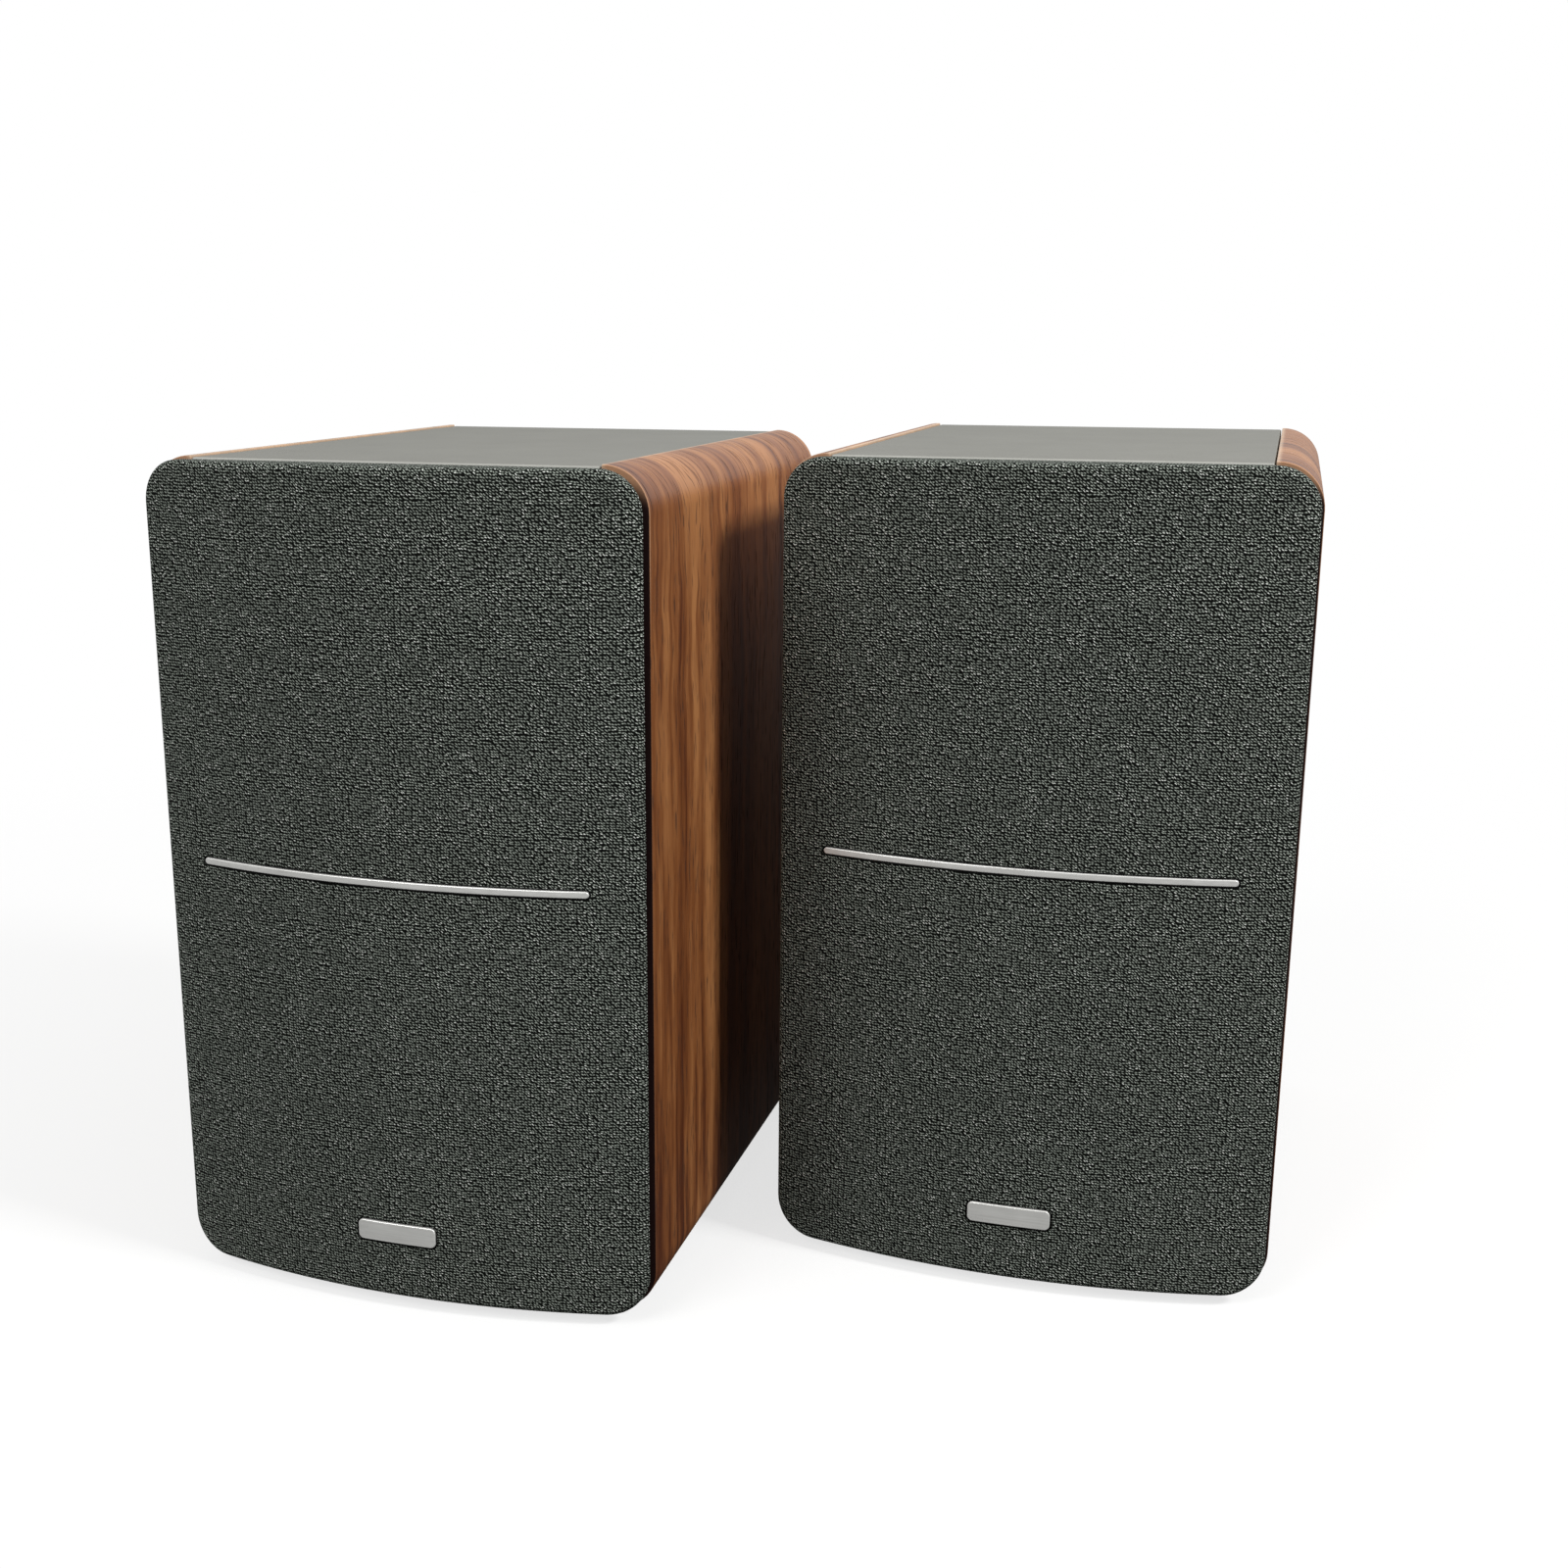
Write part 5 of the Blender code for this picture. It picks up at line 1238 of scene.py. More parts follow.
def pulp(middle):
    """Dark paper pulp with fibres, and faint rings round the middle of the cone."""
    finish = Finish("black paper pulp", Specular_IOR_Level=0.3)
    move = {"operation": "SUBTRACT"}
    place = finish.place.node("ShaderNodeVectorMath", move, {0: finish.place, 1: tuple(middle)})
    rings = (place.stretched(1, 0, 1).length() * PULP_RINGS).sine()
    fibre = place.stretched(*PULP_STRETCH).noise(**PULP_FIBRE)
    cloud = place.noise(**PULP_CLOUD)
    colour = blended((fibre, cloud), PULP_SHARES).ramp(*PULP_TONES)
    normal = (fibre + rings * RING_HEIGHT).bump(*PULP_RELIEF)
    return finish.feed(Base_Color=colour, Roughness=fibre.scaled(*PULP_ROUGHNESS), Normal=normal)


print("rings of the cone in mm:", round(2 * math.pi / PULP_RINGS / MM, 2))

# %% [markdown]
# The edge of the cone is a half roll of soft rubber, and a rubber ring covers the flange, where screws
# hold the basket to the baffle. All three are turned from the rings of a drawing, in millimetres from the
# seat of the flange. The basket, motor, coil and spider stay as solids, because they sit inside.

# %% Shapes of the woofer
WOOFER_FLANGE = 3.0 * MM
CONE_CENTRE = 0.4
CONE_FRONT = [(CONE_CENTRE, -7.0), (4.0, -7.35), (8.0, -8.55), (11.5, -10.4), (14.2, -12.4), (15.5, -13.3)]
CONE_WALL = [(15.9, -13.0), (19.0, -9.7), (23.0, -5.9), (27.5, -2.1), (31.5, 0.9), (34.5, 2.9), (37.5, 3.1)]
CONE_BACK = [(37.5, 2.0), (34.5, 1.8), (27.5, -3.2), (19.0, -11.0), (15.5, -15.0), (14.5, -18.0)]
CONE_INSIDE = [(13.5, -18.0), (13.5, -15.0), (9.0, -10.6), (4.0, -8.4), (CONE_CENTRE, -8.0)]
CONE_RINGS = CONE_FRONT + CONE_WALL + CONE_BACK + CONE_INSIDE
ROLL_MIDDLE = 41.5
ROLL_RISE = 4.2
ROLL_FACETS = 16
SURROUND_FACE = {"base": 4.1, "half_width": 4.0}
SURROUND_UNDER = {"base": 3.3, "half_width": 3.2}
INNER_LIP = (34.5, 36.8)
OUTER_LIP = (46.2, 49.5)
FLANGE_FRONT = [(49.8, 3.1), (49.8, 4.3), (50.2, 4.6), (55.0, 4.6), (55.7, 4.25), (56.0, 3.5)]
FLANGE_RINGS = FLANGE_FRONT + [(56.0, 1.0), (49.8, 1.0)] + FLANGE_FRONT[:1]


def surround_side(base, half_width):
    """Rings over one side of the surround, from its inner lip over the roll to its outer lip."""
    roll = arc_rings(ROLL_MIDDLE, base, half_width, ROLL_RISE, ROLL_FACETS)
    return [(radius, base) for radius in INNER_LIP] + roll + [(radius, base) for radius in OUTER_LIP]


def surround_rings():
    """Rings round the whole section of the surround: over its face, and back along its under side."""
    face = surround_side(**SURROUND_FACE)
    return face + surround_side(**SURROUND_UNDER)[::-1] + face[:1]


def axis_at(node, y):
    """Where the axis of a node that faces front or back meets a given depth."""
    low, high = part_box(node)
    return Vector(((low.x + high.x) / 2, y, (low.z + high.z) / 2))


def front_of(node):
    """The depth of a node's front."""
    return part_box(node)[0].y


def back_of(node):
    """The depth of a node's back."""
    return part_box(node)[1].y


def woofer(speaker):
    """Cone, surround and flange ring, around the axis of the basket."""
    basket = speaker.node("woofer_basket")
    seat = axis_at(basket, front_of(basket) + WOOFER_FLANGE)
    cone = turned(speaker.node("paper_cone"), millimetres(*CONE_RINGS), seat, FORWARD)
    dress(cone, pulp(seat), "paper", speaker.node("cone"), speaker.node("woofer_cone"))
    surround = turned(speaker.node("rubber_surround"), millimetres(*surround_rings()), seat, FORWARD)
    bend_surround(speaker, surround, seat)
    ring = turned(speaker.node("flange_ring"), millimetres(*FLANGE_RINGS), seat, FORWARD)
    dress(ring, RUBBER, "rubber", speaker.cabinet)


print("rings of cone, surround and flange:", len(CONE_RINGS), len(surround_rings()), len(FLANGE_RINGS))

# %% [markdown]
# The surround is fixed to the flange on its outside and to the cone on its inside, so it has to bend when
# the cone moves. It fills the weights along a straight line, so they are set again here by the distance
# from the cone's axis.

# %% Woofers with their bending surrounds
SURROUND_INSIDE = 37.5 * MM
SURROUND_OUTSIDE = 45.5 * MM


def bend_surround(speaker, surround, seat):
    """Lets the surround follow the cone at its inner lip and the cabinet at its outer lip."""
    activate(surround)
    bpy.ops.object.shade_smooth_by_angle(angle=SMOOTH_ANGLE)
    surround.data.materials.append(RUBBER)
    outer = seat + Vector((SURROUND_OUTSIDE, 0.0, 0.0))
    inner = seat + Vector((SURROUND_INSIDE, 0.0, 0.0))
    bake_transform(surround, speaker.cabinet, speaker.node("cone"), start=outer, end=inner)
    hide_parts(speaker.node("woofer_surround"))
    weights = surround.data.attributes["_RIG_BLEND"].data
    for point in surround.data.vertices:
        radius = math.hypot(point.co.x - seat.x, point.co.z - seat.z)
        share = (SURROUND_OUTSIDE - radius) / (SURROUND_OUTSIDE - SURROUND_INSIDE)
        share = max(0.0, min(1.0, share))
        weights[point.index].value = share * share * (3 - 2 * share)


for speaker in SPEAKERS:
    woofer(speaker)

# %% [markdown]
# The tweeter is a fine silk dome in the throat of a shallow horn that is part of its face plate. The silk
# is woven, so its finish is the product of two waves, one for each way of the threads, under a soft coat.

# %% Silk finish
SILK_TONES = ((0.1, (0.008, 0.008, 0.009)), (0.7, (0.03, 0.03, 0.032)))
SILK_THREADS = 9000
SILK_CLOUD = 300.0
SILK_SHARES = (0.25, 0.6)
SILK_ROUGHNESS = (0.42, 0.08)
SILK_RELIEF = (0.02 * MM, 0.6)


def silk():
    """Coated silk: a fine weave under a soft dark coat."""
    finish = Finish("coated silk", Specular_IOR_Level=0.5, Sheen_Weight=0.2)
    threads = finish.place.stretched(SILK_THREADS, 0, SILK_THREADS)
    weave = threads.axis("X").sine() * threads.axis("Z").sine()
    colour = blended((weave, finish.place.noise(SILK_CLOUD)), SILK_SHARES).ramp(*SILK_TONES)
    return finish.feed(
        Base_Color=colour, Roughness=weave.scaled(*SILK_ROUGHNESS), Normal=weave.bump(*SILK_RELIEF)
    )


SILK = silk()
print("silk threads in mm:", round(2 * math.pi / SILK_THREADS / MM, 2))

# %% [markdown]
# The face plate with its horn, the dome, and the bass port, whose mouth flares out to a slim rim, are all
# turned. Each is measured from its own node.

# %% Tweeters and ports
TWEETER_PLATE = 3.0 * MM
FACE_RIM = [(22.6, 3.0), (24.3, 3.0), (24.8, 2.8), (25.0, 2.3), (25.0, 0.0)]
FACE_BACK = [(18.0, 0.0), (18.0, -3.0), (12.0, -3.0)]
FACE_HORN = [(12.0, -1.0), (13.2, -0.35), (16.0, 1.0), (19.0, 2.1), (21.3, 2.75)]
FACE_RINGS = FACE_RIM + FACE_BACK + FACE_HORN + FACE_RIM[:1]
DOME_CROWN = [(0.3, 1.8), (2.6, 1.6), (5.0, 1.05), (7.2, 0.1), (8.6, -0.9), (9.5, -2.1)]
DOME_LIP = [(10.4, -1.9), (11.7, -2.2), (11.7, -3.0)]
DOME_UNDER = [(8.7, -3.0), (5.0, 0.2), (0.3, 1.0)]
DOME_RINGS = DOME_CROWN + DOME_LIP + DOME_UNDER
PORT_RIM = [(11.3, 0.0), (11.8, -0.25), (12.0, -0.7), (12.0, -2.0), (10.5, -2.0)]
PORT_OUTSIDE = 10.5
PORT_BORE = 9.0
PORT_FLARE = [(9.0, -4.0), (9.25, -2.2), (9.9, -0.8), (10.7, -0.1)]


def tweeter_and_port(speaker):
    """Face plate, dome and port tube, measured from their nodes."""
    plate = speaker.node("tweeter_plate")
    seat = axis_at(plate, front_of(plate) + TWEETER_PLATE)
    face = turned(speaker.node("tweeter_face"), millimetres(*FACE_RINGS), seat, FORWARD)
    dress(face, BLACK_PLASTIC, "black_plastic", speaker.cabinet, plate)
    dome = turned(speaker.node("silk_dome"), millimetres(*DOME_RINGS), seat, FORWARD)
    dress(dome, SILK, "silk", speaker.cabinet, speaker.node("tweeter_dome"))
    tube = speaker.node("port_tube")
    low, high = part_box(tube)
    length = (high.y - low.y) / MM
    tail = [(PORT_OUTSIDE, -length), (PORT_BORE, -length)]
    rings = PORT_RIM + tail + PORT_FLARE + PORT_RIM[:1]
    port = turned(speaker.node("flared_port"), millimetres(*rings), axis_at(tube, low.y), FORWARD)
    dress(port, BLACK_PLASTIC, "black_plastic", speaker.cabinet, tube)


for speaker in SPEAKERS:
    tweeter_and_port(speaker)

# %% [markdown]
# One pan-head screw with a cross recess is modelled, and every other screw is a copy of it: turned to its
# own angle, set to its own place, and joined with the others of its row into one piece.

# %% Screws
SCREW_RINGS = [(2.5, -0.4), (2.6, 0.3), (2.5, 0.75), (2.15, 1.2), (1.5, 1.5), (0.8, 1.65), (0.2, 1.7)]
SCREW_STEPS = 32
SCREW_SLOT = 0.55 * MM
SCREW_REACH = 1.5 * MM
SCREW_DEPTH = 0.9 * MM
SCREW_ANGLE = 1.1
SCREW_TOP = 1.7 * MM
ORIGIN = (0.0, 0.0, 0.0)
UPRIGHT = (0.0, 0.0, 0.0)

pattern_screw = turned("pattern_screw", millimetres(*SCREW_RINGS), ORIGIN, UPRIGHT, SCREW_STEPS)
for wide, deep in ((SCREW_REACH, SCREW_SLOT / 2), (SCREW_SLOT / 2, SCREW_REACH)):
    first = (-wide, -deep, SCREW_TOP - SCREW_DEPTH)
    last = (wide, deep, SCREW_TOP + SPARE)
    cut(pattern_screw, block("recess_cutter", first, last))


def copy_of(pattern, name):
    """A copy of a pattern with its own mesh, left active."""
    activate(pattern)
    bpy.ops.object.duplicate()
    copy = bpy.context.object
    copy.name = name
    return copy


def joined(copies, name):
    """Several finished copies as one piece."""
    clear_selection()
    for copy in copies:
        copy.select_set(True)
    bpy.context.view_layer.objects.active = copies[0]
    bpy.ops.object.join()
    return settle(name)


def set_down(copy, place, turn):
    """Turns the active copy, sets it to its place and puts both into its mesh."""
    copy.rotation_euler = turn
    copy.location = place
    bpy.ops.object.transform_apply(location=True, rotation=True, scale=True)
    return copy


def screw_row(name, places, turn, scale, body):
    """A set of screws, each turned to an angle of its own."""
    heads = []
    for number, place in enumerate(places):
        head = copy_of(pattern_screw, f"{name}_{number}")
        spin = Matrix.Rotation(number * SCREW_ANGLE, 3, "Z")
        head.scale = (scale, scale, scale)
        heads.append(set_down(head, place, (Euler(turn).to_matrix() @ spin).to_euler()))
    dress(joined(heads, name), SCREW_STEEL, "satin_metal", body)


print("pattern screw has", len(pattern_screw.data.polygons), "faces")

# %% [markdown]
# Four screws hold each woofer, and three small ones hold each tweeter.

# %% Screws of the drivers
WOOFER_SCREWS = 4
WOOFER_SCREW_RADIUS = 52.8 * MM
WOOFER_SCREW_FRONT = 1.6 * MM
TWEETER_SCREWS = 3
TWEETER_SCREW_RADIUS = 23.4 * MM
TWEETER_SCREW_SCALE = 0.5


def circle_of(centre, radius, count, first):
    """Places round a circle that faces the front."""
    angles = [first + number * 2 * math.pi / count for number in range(count)]
    return [centre + Vector((radius * math.cos(angle), 0.0, radius * math.sin(angle))) for angle in angles]


for speaker in SPEAKERS:
    basket = speaker.node("woofer_basket")
    centre = axis_at(basket, front_of(basket) - WOOFER_SCREW_FRONT)
    places = circle_of(centre, WOOFER_SCREW_RADIUS, WOOFER_SCREWS, math.pi / 4)
    screw_row(speaker.node("woofer_screws"), places, FORWARD, 1.0, speaker.cabinet)
    plate = speaker.node("tweeter_plate")
    centre = axis_at(plate, front_of(plate))
    places = circle_of(centre, TWEETER_SCREW_RADIUS, TWEETER_SCREWS, math.pi / 2)
    screw_row(speaker.node("tweeter_screws"), places, FORWARD, TWEETER_SCREW_SCALE, speaker.cabinet)

# %% [markdown]
# The sockets on the back are moulded blocks with many small edges. Their solids have the right shape, so
# each one is copied, its loose triangles are merged into clean faces, and a small bevel is laid on every
# edge. That is quicker than modelling them again, and keeps every hole where it is.

# %% Eased copies of the rear pieces
EASED_ANGLE = math.radians(38)
FLAT_ANGLE = math.radians(0.6)


def eased_copy(node, name, width, segments=2):
    """A copy of a node with merged faces and softened edges."""
    copy = bpy.data.objects.new(name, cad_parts[node].data.copy())
    bpy.context.scene.collection.objects.link(copy)
    choose(copy, "FACE", lambda face: True)
    bpy.ops.mesh.select_all(action="SELECT")
    bpy.ops.mesh.remove_doubles(threshold=WELD)
    bpy.ops.mesh.dissolve_limited(angle_limit=FLAT_ANGLE)
    bpy.ops.object.mode_set(mode="OBJECT")
    apply_modifier(
        copy, "BEVEL", width=width, segments=segments, limit_method="ANGLE", angle_limit=EASED_ANGLE
    )
    return copy


print("rear pieces are eased at edges over", round(math.degrees(EASED_ANGLE)), "degrees")

# %% [markdown]
# Each spring terminal has a red and a black lever in a moulded cup. A finger presses the sloping face, so
# it has grooves for grip. They are pressed in with a thin rod, which is laid across the face at even steps
# and cut out each time. Real grooves catch the light from every side, as a bump in the finish can't.

# %% Terminals with grooved levers
LEVER_FINISH = {"red": RED_PLASTIC, "black": BLACK_PLASTIC}
LEVER_SLOT = {"red": "red_plastic", "black": "black_plastic"}
CUP_EASE = 0.4 * MM
LEVER_EASE = 0.35 * MM
CUP_SCREWS = Vector((20.8 * MM, 0.0, 11.8 * MM))
CUP_SCREW_SCALE = 0.7
GROOVE_COUNT = 5
GROOVE_PITCH = 1.5 * MM
GROOVE_LOWER = 1.4 * MM
GROOVE_LENGTH = 8.8 * MM
GROOVE_RADIUS = 0.5 * MM
GROOVE_LIFT = 0.12 * MM
GROOVE_STEPS = 16


def groove_lever(lever):
    """Cuts grip grooves across the lower part of the face that a finger presses."""
    pressed = max(lever.data.polygons, key=lambda face: face.area * face.normal.y)
    normal = pressed.normal.copy()
    upward = normal.cross(Vector((-1.0, 0.0, 0.0)))
    upward = upward if upward.z > 0 else -upward
    lowest = GROOVE_LOWER + GROOVE_PITCH * (GROOVE_COUNT - 1) / 2
    first = pressed.center + normal * GROOVE_LIFT - upward * lowest
    for number in range(GROOVE_COUNT):
        clear_selection()
        bpy.ops.mesh.primitive_cylinder_add(
            vertices=GROOVE_STEPS,
            radius=GROOVE_RADIUS,
            depth=GROOVE_LENGTH,
            location=first + upward * number * GROOVE_PITCH,
            rotation=RIGHTWARD,
        )
        cut(lever, settle("groove_cutter"))


for speaker in SPEAKERS:
    node = speaker.node("terminal_cup")
    cup = eased_copy(node, speaker.node("terminal_block"), CUP_EASE)
    dress(cup, BLACK_PLASTIC, "black_plastic", speaker.cabinet, node)
    face = axis_at(node, back_of(node))
    places = [face + Vector((x * CUP_SCREWS.x, 0.0, z * CUP_SCREWS.z)) for x in (-1, 1) for z in (-1, 1)]
    screw_row(speaker.node("terminal_screws"), places, BACKWARD, CUP_SCREW_SCALE, speaker.cabinet)
    for colour, finish in LEVER_FINISH.items():
        node = speaker.node(f"{colour}_lever")
        lever = eased_copy(node, f"{node}_grip", LEVER_EASE)
        groove_lever(lever)
        dress(lever, finish, LEVER_SLOT[colour], node, node)

# %% [markdown]
# The amplifier plate carries the sockets. It is a steel plate with a textured black coat and a row of
# screws near each upright edge. The four phono jacks get plated sleeves and a coloured ring each, red for
# the right channel and white for the left.

# %% Amplifier plate and jacks
PLATE_EASE = 0.5 * MM
PLATE_SCREW_INSET = 5.0 * MM
JACK_EASE = 0.3 * MM
JACK_PITCH = 15.0 * MM
JACK_LENGTH = 8.5
JACK_CHAMFER = 0.2
JACK_STEPS = 48
SLEEVE_TIP = [(4.45, JACK_LENGTH - JACK_CHAMFER), (4.3, JACK_LENGTH), (4.1, JACK_LENGTH)]
SLEEVE_WALL = [(4.1, 0.0), (4.45, 0.0)] + SLEEVE_TIP
SLEEVE_RINGS = SLEEVE_WALL + SLEEVE_WALL[:1]
COLLAR_WALL = [(4.5, 0.0), (6.1, 0.0), (6.1, 0.6), (5.8, 0.9), (4.5, 0.9)]
COLLAR_RINGS = COLLAR_WALL + COLLAR_WALL[:1]

low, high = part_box("right_amp_plate")
plate = eased_copy("right_amp_plate", "right_amp_panel", PLATE_EASE)
dress(plate, BLACK_STEEL, "painted_steel", "right_cabinet", "right_amp_plate")
columns = (low.x + PLATE_SCREW_INSET, high.x - PLATE_SCREW_INSET)
rows = (low.z + PLATE_SCREW_INSET, (low.z + high.z) / 2, high.z - PLATE_SCREW_INSET)
places = [Vector((x, high.y, z)) for x in columns for z in rows]
screw_row("right_amp_screws", places, BACKWARD, 1.0, "right_cabinet")

jacks = eased_copy("right_input_jacks", "right_jack_block", JACK_EASE)
dress(jacks, BLACK_PLASTIC, "black_plastic", "right_cabinet", "right_input_jacks")
base = axis_at("right_input_jacks", back_of("right_input_jacks") - JACK_LENGTH * MM)
screw_row("right_jack_screw", [base], BACKWARD, 1.0, "right_cabinet")
for colour, side, finish, slot in (
    ("red", -1, RED_PLASTIC, "red_plastic"),
    ("white", 1, WHITE_PLASTIC, "black_plastic"),
):
    for row, rise in (("upper", 1), ("lower", -1)):
        name = f"right_{colour}_{row}"
        place = base + Vector((side * JACK_PITCH / 2, 0.0, rise * JACK_PITCH / 2))
        sleeve = turned(f"{name}_sleeve", millimetres(*SLEEVE_RINGS), place, BACKWARD, JACK_STEPS)
        dress(sleeve, BRIGHT_METAL, "satin_metal", "right_cabinet")
        collar = turned(f"{name}_collar", millimetres(*COLLAR_RINGS), place, BACKWARD, JACK_STEPS)
        dress(collar, finish, slot, "right_cabinet")

# %% [markdown]
# The mains inlet and the power rocker sit in one moulded block. The inlet's pins are plated brass, so they
# are turned as separate pieces. The rocker carries a bar and a ring, the common marks for on and off.

# %% Mains inlet and rocker
INLET_EASE = 0.35 * MM
ROCKER_EASE = 0.35 * MM
RING_RADIUS = 1.5 * MM
RING_WIRE = 0.3 * MM
BAR_SIZE = Vector((0.6 * MM, 3.4 * MM, 0.6 * MM))
MARK_PROUD = 0.12 * MM
INLET_PLACE = Vector((11.5 * MM, 0.0, 0.0))
PIN_PITCH = 8.6 * MM
PIN_FLOOR = 12.0 * MM
PIN_RINGS = [(1.27, 0.0), (1.27, 8.3), (1.1, 8.8), (0.7, 9.1), (0.2, 9.2)]
PIN_STEPS = 32

inlet = eased_copy("right_power_inlet", "right_inlet_block", INLET_EASE)
dress(inlet, BLACK_PLASTIC, "black_plastic", "right_cabinet", "right_power_inlet")
recess = axis_at("right_power_inlet", back_of("right_power_inlet") - PIN_FLOOR) - INLET_PLACE
for name, side in (("first", -1), ("second", 1)):
    place = recess + Vector((side * PIN_PITCH / 2, 0.0, 0.0))
    pin = turned(f"right_inlet_{name}_pin", millimetres(*PIN_RINGS), place, BACKWARD, PIN_STEPS)
    dress(pin, BRIGHT_METAL, "satin_metal", "right_cabinet")
rocker = eased_copy("right_power_rocker", "right_rocker_cap", ROCKER_EASE)
dress(rocker, BLACK_PLASTIC, "black_plastic", "power_rocker", "right_power_rocker")

faces = sorted(rocker.data.polygons, key=lambda face: face.area * face.normal.y)[-2:]
pressed, raised = sorted(faces, key=lambda face: face.center.z)
marks = (("off_ring", pressed, RING_WIRE), ("on_bar", raised, BAR_SIZE.z / 2))
for name, face, thickness in marks:
    place = face.center - face.normal * (thickness - MARK_PROUD)
    turn = face.normal.to_track_quat("Z", "Y").to_euler()
    clear_selection()
    if face == pressed:
        bpy.ops.mesh.primitive_torus_add(
            location=place, rotation=turn, major_radius=RING_RADIUS, minor_radius=RING_WIRE
        )
    else:
        bpy.ops.mesh.primitive_cube_add(size=1.0, location=place, rotation=turn, scale=BAR_SIZE)
    mark = settle(f"right_rocker_{name}")
    soften(mark, MARK_PROUD / 2, 1)
    dress(mark, BRIGHT_METAL, "satin_metal", "power_rocker")

# %% [markdown]
# The control dish is a long tub with round ends, let flush into the side. It is built as the moulder's
# tool would be: a flange plate and a tub joined, and the hollow cut out. Slim silver ticks round each knob
# show its range. One is modelled, and the others are copies of it.

# %% Control dish and ticks
FLANGE_THICKNESS = 1.5 * MM
FLANGE_WIDTH = 3.5 * MM
DISH_WALL = 1.5 * MM
DISH_EASE = 0.3 * MM
KNOBS = ("bass", "treble", "volume")
TICK_COUNT = 11
TICK_SWEEP = math.radians(300)
TICK_RADIUS = 10.9 * MM
TICK_SIZE = Vector((0.12 * MM, 0.35 * MM, 1.5 * MM))


def dish_slab(name, inside, outside, inset):
    """An upright slab with round ends, a given inset inside the outline of the control panel."""
    low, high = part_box("right_control_panel")
    first = (inside, low.y + inset, low.z + inset)
    last = (outside, high.y - inset, high.z - inset)
    return rounded_block(name, first, last, X_AXIS, (high.y - low.y) / 2 - inset - TINY, ROUND_STEPS)


low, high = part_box("right_control_panel")
dish = dish_slab("right_control_dish", high.x - FLANGE_THICKNESS, high.x, 0.0)
tub = dish_slab("tub", low.x, high.x - FLANGE_THICKNESS / 2, FLANGE_WIDTH)
apply_modifier(dish, "BOOLEAN", operation="UNION", solver="EXACT", object=tub)
bpy.data.objects.remove(tub)
cut(dish, dish_slab("hollow_cutter", low.x + DISH_WALL, high.x + SPARE, FLANGE_WIDTH + DISH_WALL))
soften(dish, DISH_EASE)
dress(dish, BLACK_PLASTIC, "black_plastic", "right_cabinet", "right_control_panel")

floor_x = low.x + DISH_WALL
pattern_tick = block("pattern_tick", -TICK_SIZE / 2, TICK_SIZE / 2)
soften(pattern_tick, TICK_SIZE.x / 4, 1)
ticks = []
for knob in KNOBS:
    low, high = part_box(f"right_{knob}_knob")
    axis = Vector((floor_x, (low.y + high.y) / 2, (low.z + high.z) / 2))
    for number in range(TICK_COUNT):
        angle = TICK_SWEEP * (number / (TICK_COUNT - 1) - 0.5)
        tick = copy_of(pattern_tick, f"{knob}_tick_{number}")
        place = axis + TICK_RADIUS * Vector((0.0, -math.sin(angle), math.cos(angle)))
        ticks.append(set_down(tick, place, (angle, 0.0, 0.0)))
dress(joined(ticks, "right_dial_ticks"), BRIGHT_METAL, "satin_metal", "right_cabinet")
bpy.data.objects.remove(pattern_tick)

# %% [markdown]
# Each knob is turned, then every second upright line of its side is drawn in a little, which leaves a
# fluted grip. Its top is slightly dished, and an inlaid silver line points to the ticks.

# %% Knobs
KNOB_SIDE = [(7.6, 0.0), (8.3, 0.25), (8.5, 0.7), (8.2, 7.8), (7.9, 8.5), (7.3, 8.9)]
KNOB_TOP = [(6.8, 9.0), (6.2, 8.75), (0.3, 8.6)]
FLUTE_STEPS = 96
FLUTE_SCALE = 0.962
GRIP_RADIUS = 7.9 * MM
POINTER_SIZE = Vector((0.5 * MM, 0.9 * MM, 4.2 * MM))
POINTER_OUT = 5.0 * MM


def flute(knob, axis):
    """Draws in every second line of points on the side of a knob."""
    for point in knob.data.vertices:
        away = Vector((0.0, point.co.y - axis.y, point.co.z - axis.z))
        step = round(math.atan2(away.y, away.z) / (2 * math.pi) * FLUTE_STEPS)
        if away.length > GRIP_RADIUS and step % 2:
            point.co -= away * (1 - FLUTE_SCALE)


for knob in KNOBS:
    node = f"right_{knob}_knob"
    low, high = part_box(node)
    axis = Vector((low.x, (low.y + high.y) / 2, (low.z + high.z) / 2))
    cap = turned(f"{node}_cap", millimetres(*KNOB_SIDE, *KNOB_TOP), axis, RIGHTWARD, FLUTE_STEPS)
    flute(cap, axis)
    dress(cap, BLACK_PLASTIC, "black_plastic", f"{knob}_knob", node)
    middle = Vector((high.x - POINTER_SIZE.x / 2, axis.y, axis.z + POINTER_OUT))
    pointer = block(f"{node}_pointer", middle - POINTER_SIZE / 2, middle + POINTER_SIZE / 2)
    soften(pointer, POINTER_SIZE.x / 5)
    dress(pointer, BRIGHT_METAL, "satin_metal", f"{knob}_knob")
bpy.data.objects.remove(pattern_screw)

# %% [markdown]
# The parts inside the cabinets keep their solid shapes. They still get true finishes, because a cut-away
# or a moved part can show them: grey ferrite, wound copper, a woven spider, green circuit board and
# stacked core steel. Windings, cloth and stacked sheets are all fine even lines, so one function makes
# the three.

# %% Finishes of the inner parts
STACK_CLOUD = {"scale": 180.0, "detail": 3.0}
STACK_SHARES = (0.2, 0.6)
STACK_BASE = 0.1
STACK_STOPS = (0.2, 0.75)
STACK_ROUGHNESS = 0.15
STACK_DEPTH = 6
STACK_STRENGTH = 0.8


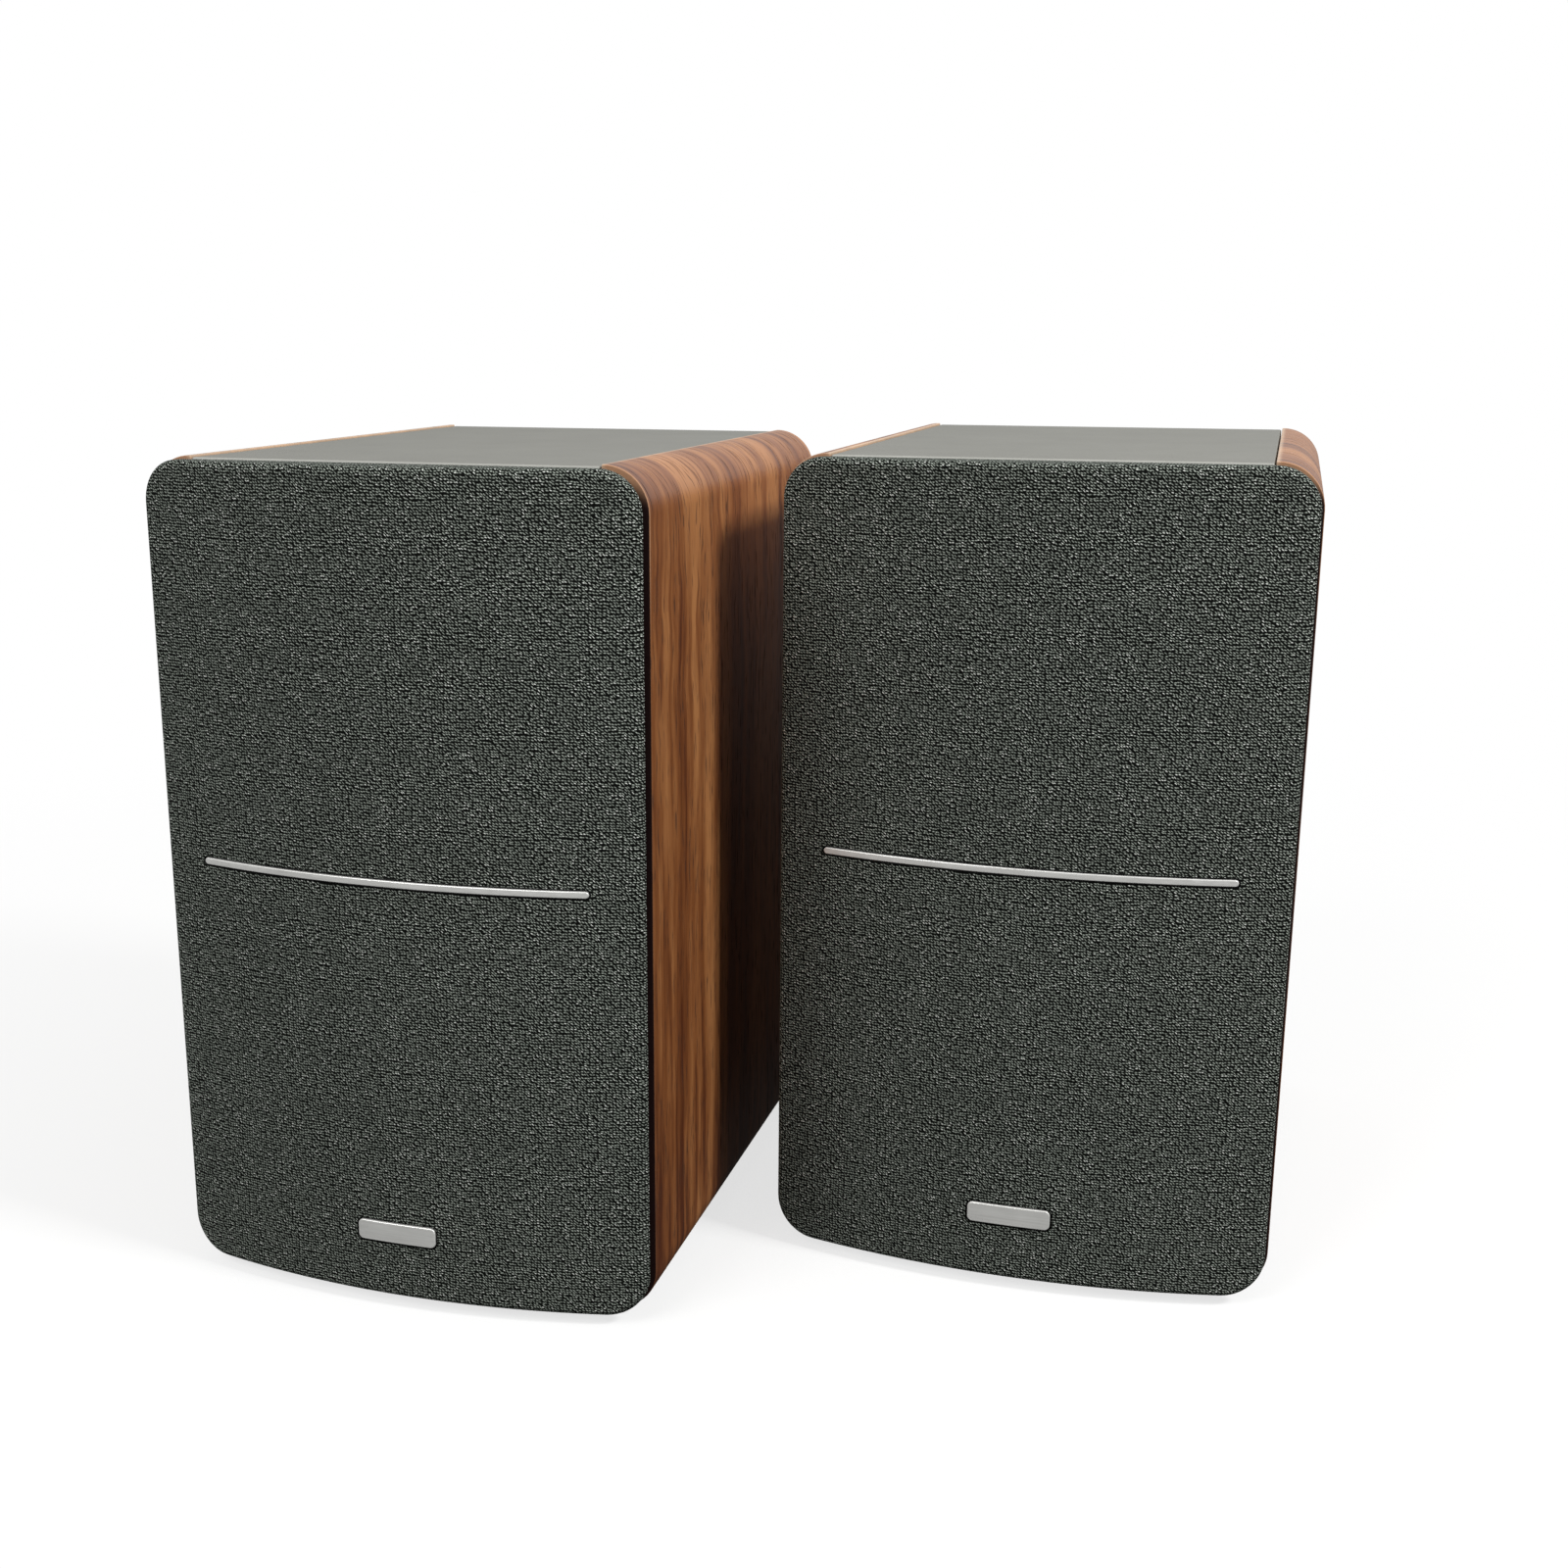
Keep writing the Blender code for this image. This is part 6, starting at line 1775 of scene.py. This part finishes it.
def stacked(name, low, high, axis, pitch, roughness, metallic):
    """Fine even lines across one axis, for windings and for stacked sheet steel."""
    finish = Finish(name, Metallic=metallic)
    lines = (finish.place.axis(axis) * (2 * math.pi / pitch)).sine()
    cloud = finish.place.noise(**STACK_CLOUD)
    tone = blended((lines, cloud), STACK_SHARES) + STACK_BASE
    return finish.feed(
        Base_Color=tone.ramp(*zip(STACK_STOPS, (low, high))),
        Roughness=cloud.scaled(roughness, STACK_ROUGHNESS),
        Normal=lines.bump(pitch / STACK_DEPTH, STACK_STRENGTH),
    )


FERRITE = skinned(
    "grey ferrite",
    low=(0.035, 0.034, 0.034),
    high=(0.062, 0.061, 0.060),
    grain=1500,
    roughness=0.7,
    relief=0.08 * MM,
)
COPPER = stacked(
    "wound copper",
    low=(0.42, 0.14, 0.055),
    high=(0.62, 0.25, 0.11),
    axis="Y",
    pitch=0.25 * MM,
    roughness=0.3,
    metallic=0.9,
)
SPIDER = stacked(
    "woven spider cloth",
    low=(0.30, 0.17, 0.06),
    high=(0.46, 0.29, 0.12),
    axis="X",
    pitch=0.6 * MM,
    roughness=0.7,
    metallic=0.0,
)
CORE_STEEL = stacked(
    "stacked core steel",
    low=(0.16, 0.16, 0.17),
    high=(0.30, 0.30, 0.31),
    axis="Y",
    pitch=0.7 * MM,
    roughness=0.4,
    metallic=0.8,
)
for speaker in SPEAKERS:
    dress_node(speaker.node("woofer_basket"), BLACK_STEEL)
    dress_node(speaker.node("woofer_magnet"), FERRITE)
    dress_node(speaker.node("woofer_voice_coil"), COPPER)
    dress_node(speaker.node("woofer_spider"), SPIDER)
    dress_node(speaker.node("tweeter_magnet"), FERRITE)
dress_node("right_transformer", CORE_STEEL)
print("drivers and transformer finished")

# %% [markdown]
# A circuit board is copper under green lacquer. The tracks follow the borders of a cell pattern, which
# looks routed from a distance, and a few specks of solder shine through.

# %% Circuit boards
TRACK_CELLS = 260.0
TRACK_EDGE = (0.06, 0.1)
TRACK_TONES = ((0.0, (0.020, 0.085, 0.030)), (1.0, (0.008, 0.045, 0.016)))
TRACK_RELIEF = (-0.04 * MM, 0.6)
SOLDER_SPECK = {"scale": 900.0, "detail": 1.0}
SOLDER_EDGE = (0.7, 0.74)
SOLDER_COLOUR = (0.42, 0.42, 0.40, 1.0)
BOARD_ROUGHNESS = (0.45, -0.15)


def circuit_board():
    """Green lacquer over copper tracks, with paler specks of solder."""
    finish = Finish("green circuit board", Specular_IOR_Level=0.5)
    cells = {"Vector": finish.place, "Scale": TRACK_CELLS}
    borders = {"feature": "DISTANCE_TO_EDGE"}
    tracks = finish.place.node("ShaderNodeTexVoronoi", borders, cells, "Distance").between(*TRACK_EDGE)
    solder = finish.place.noise(**SOLDER_SPECK).between(*SOLDER_EDGE)
    colour = solder.mixed(tracks.ramp(*TRACK_TONES), SOLDER_COLOUR)
    normal = tracks.bump(*TRACK_RELIEF)
    return finish.feed(Base_Color=colour, Roughness=solder.scaled(*BOARD_ROUGHNESS), Normal=normal)


BOARD = circuit_board()
for node in ("left_crossover", "right_amp_board", "right_control_board"):
    dress_node(node, BOARD)
print("circuit boards finished")
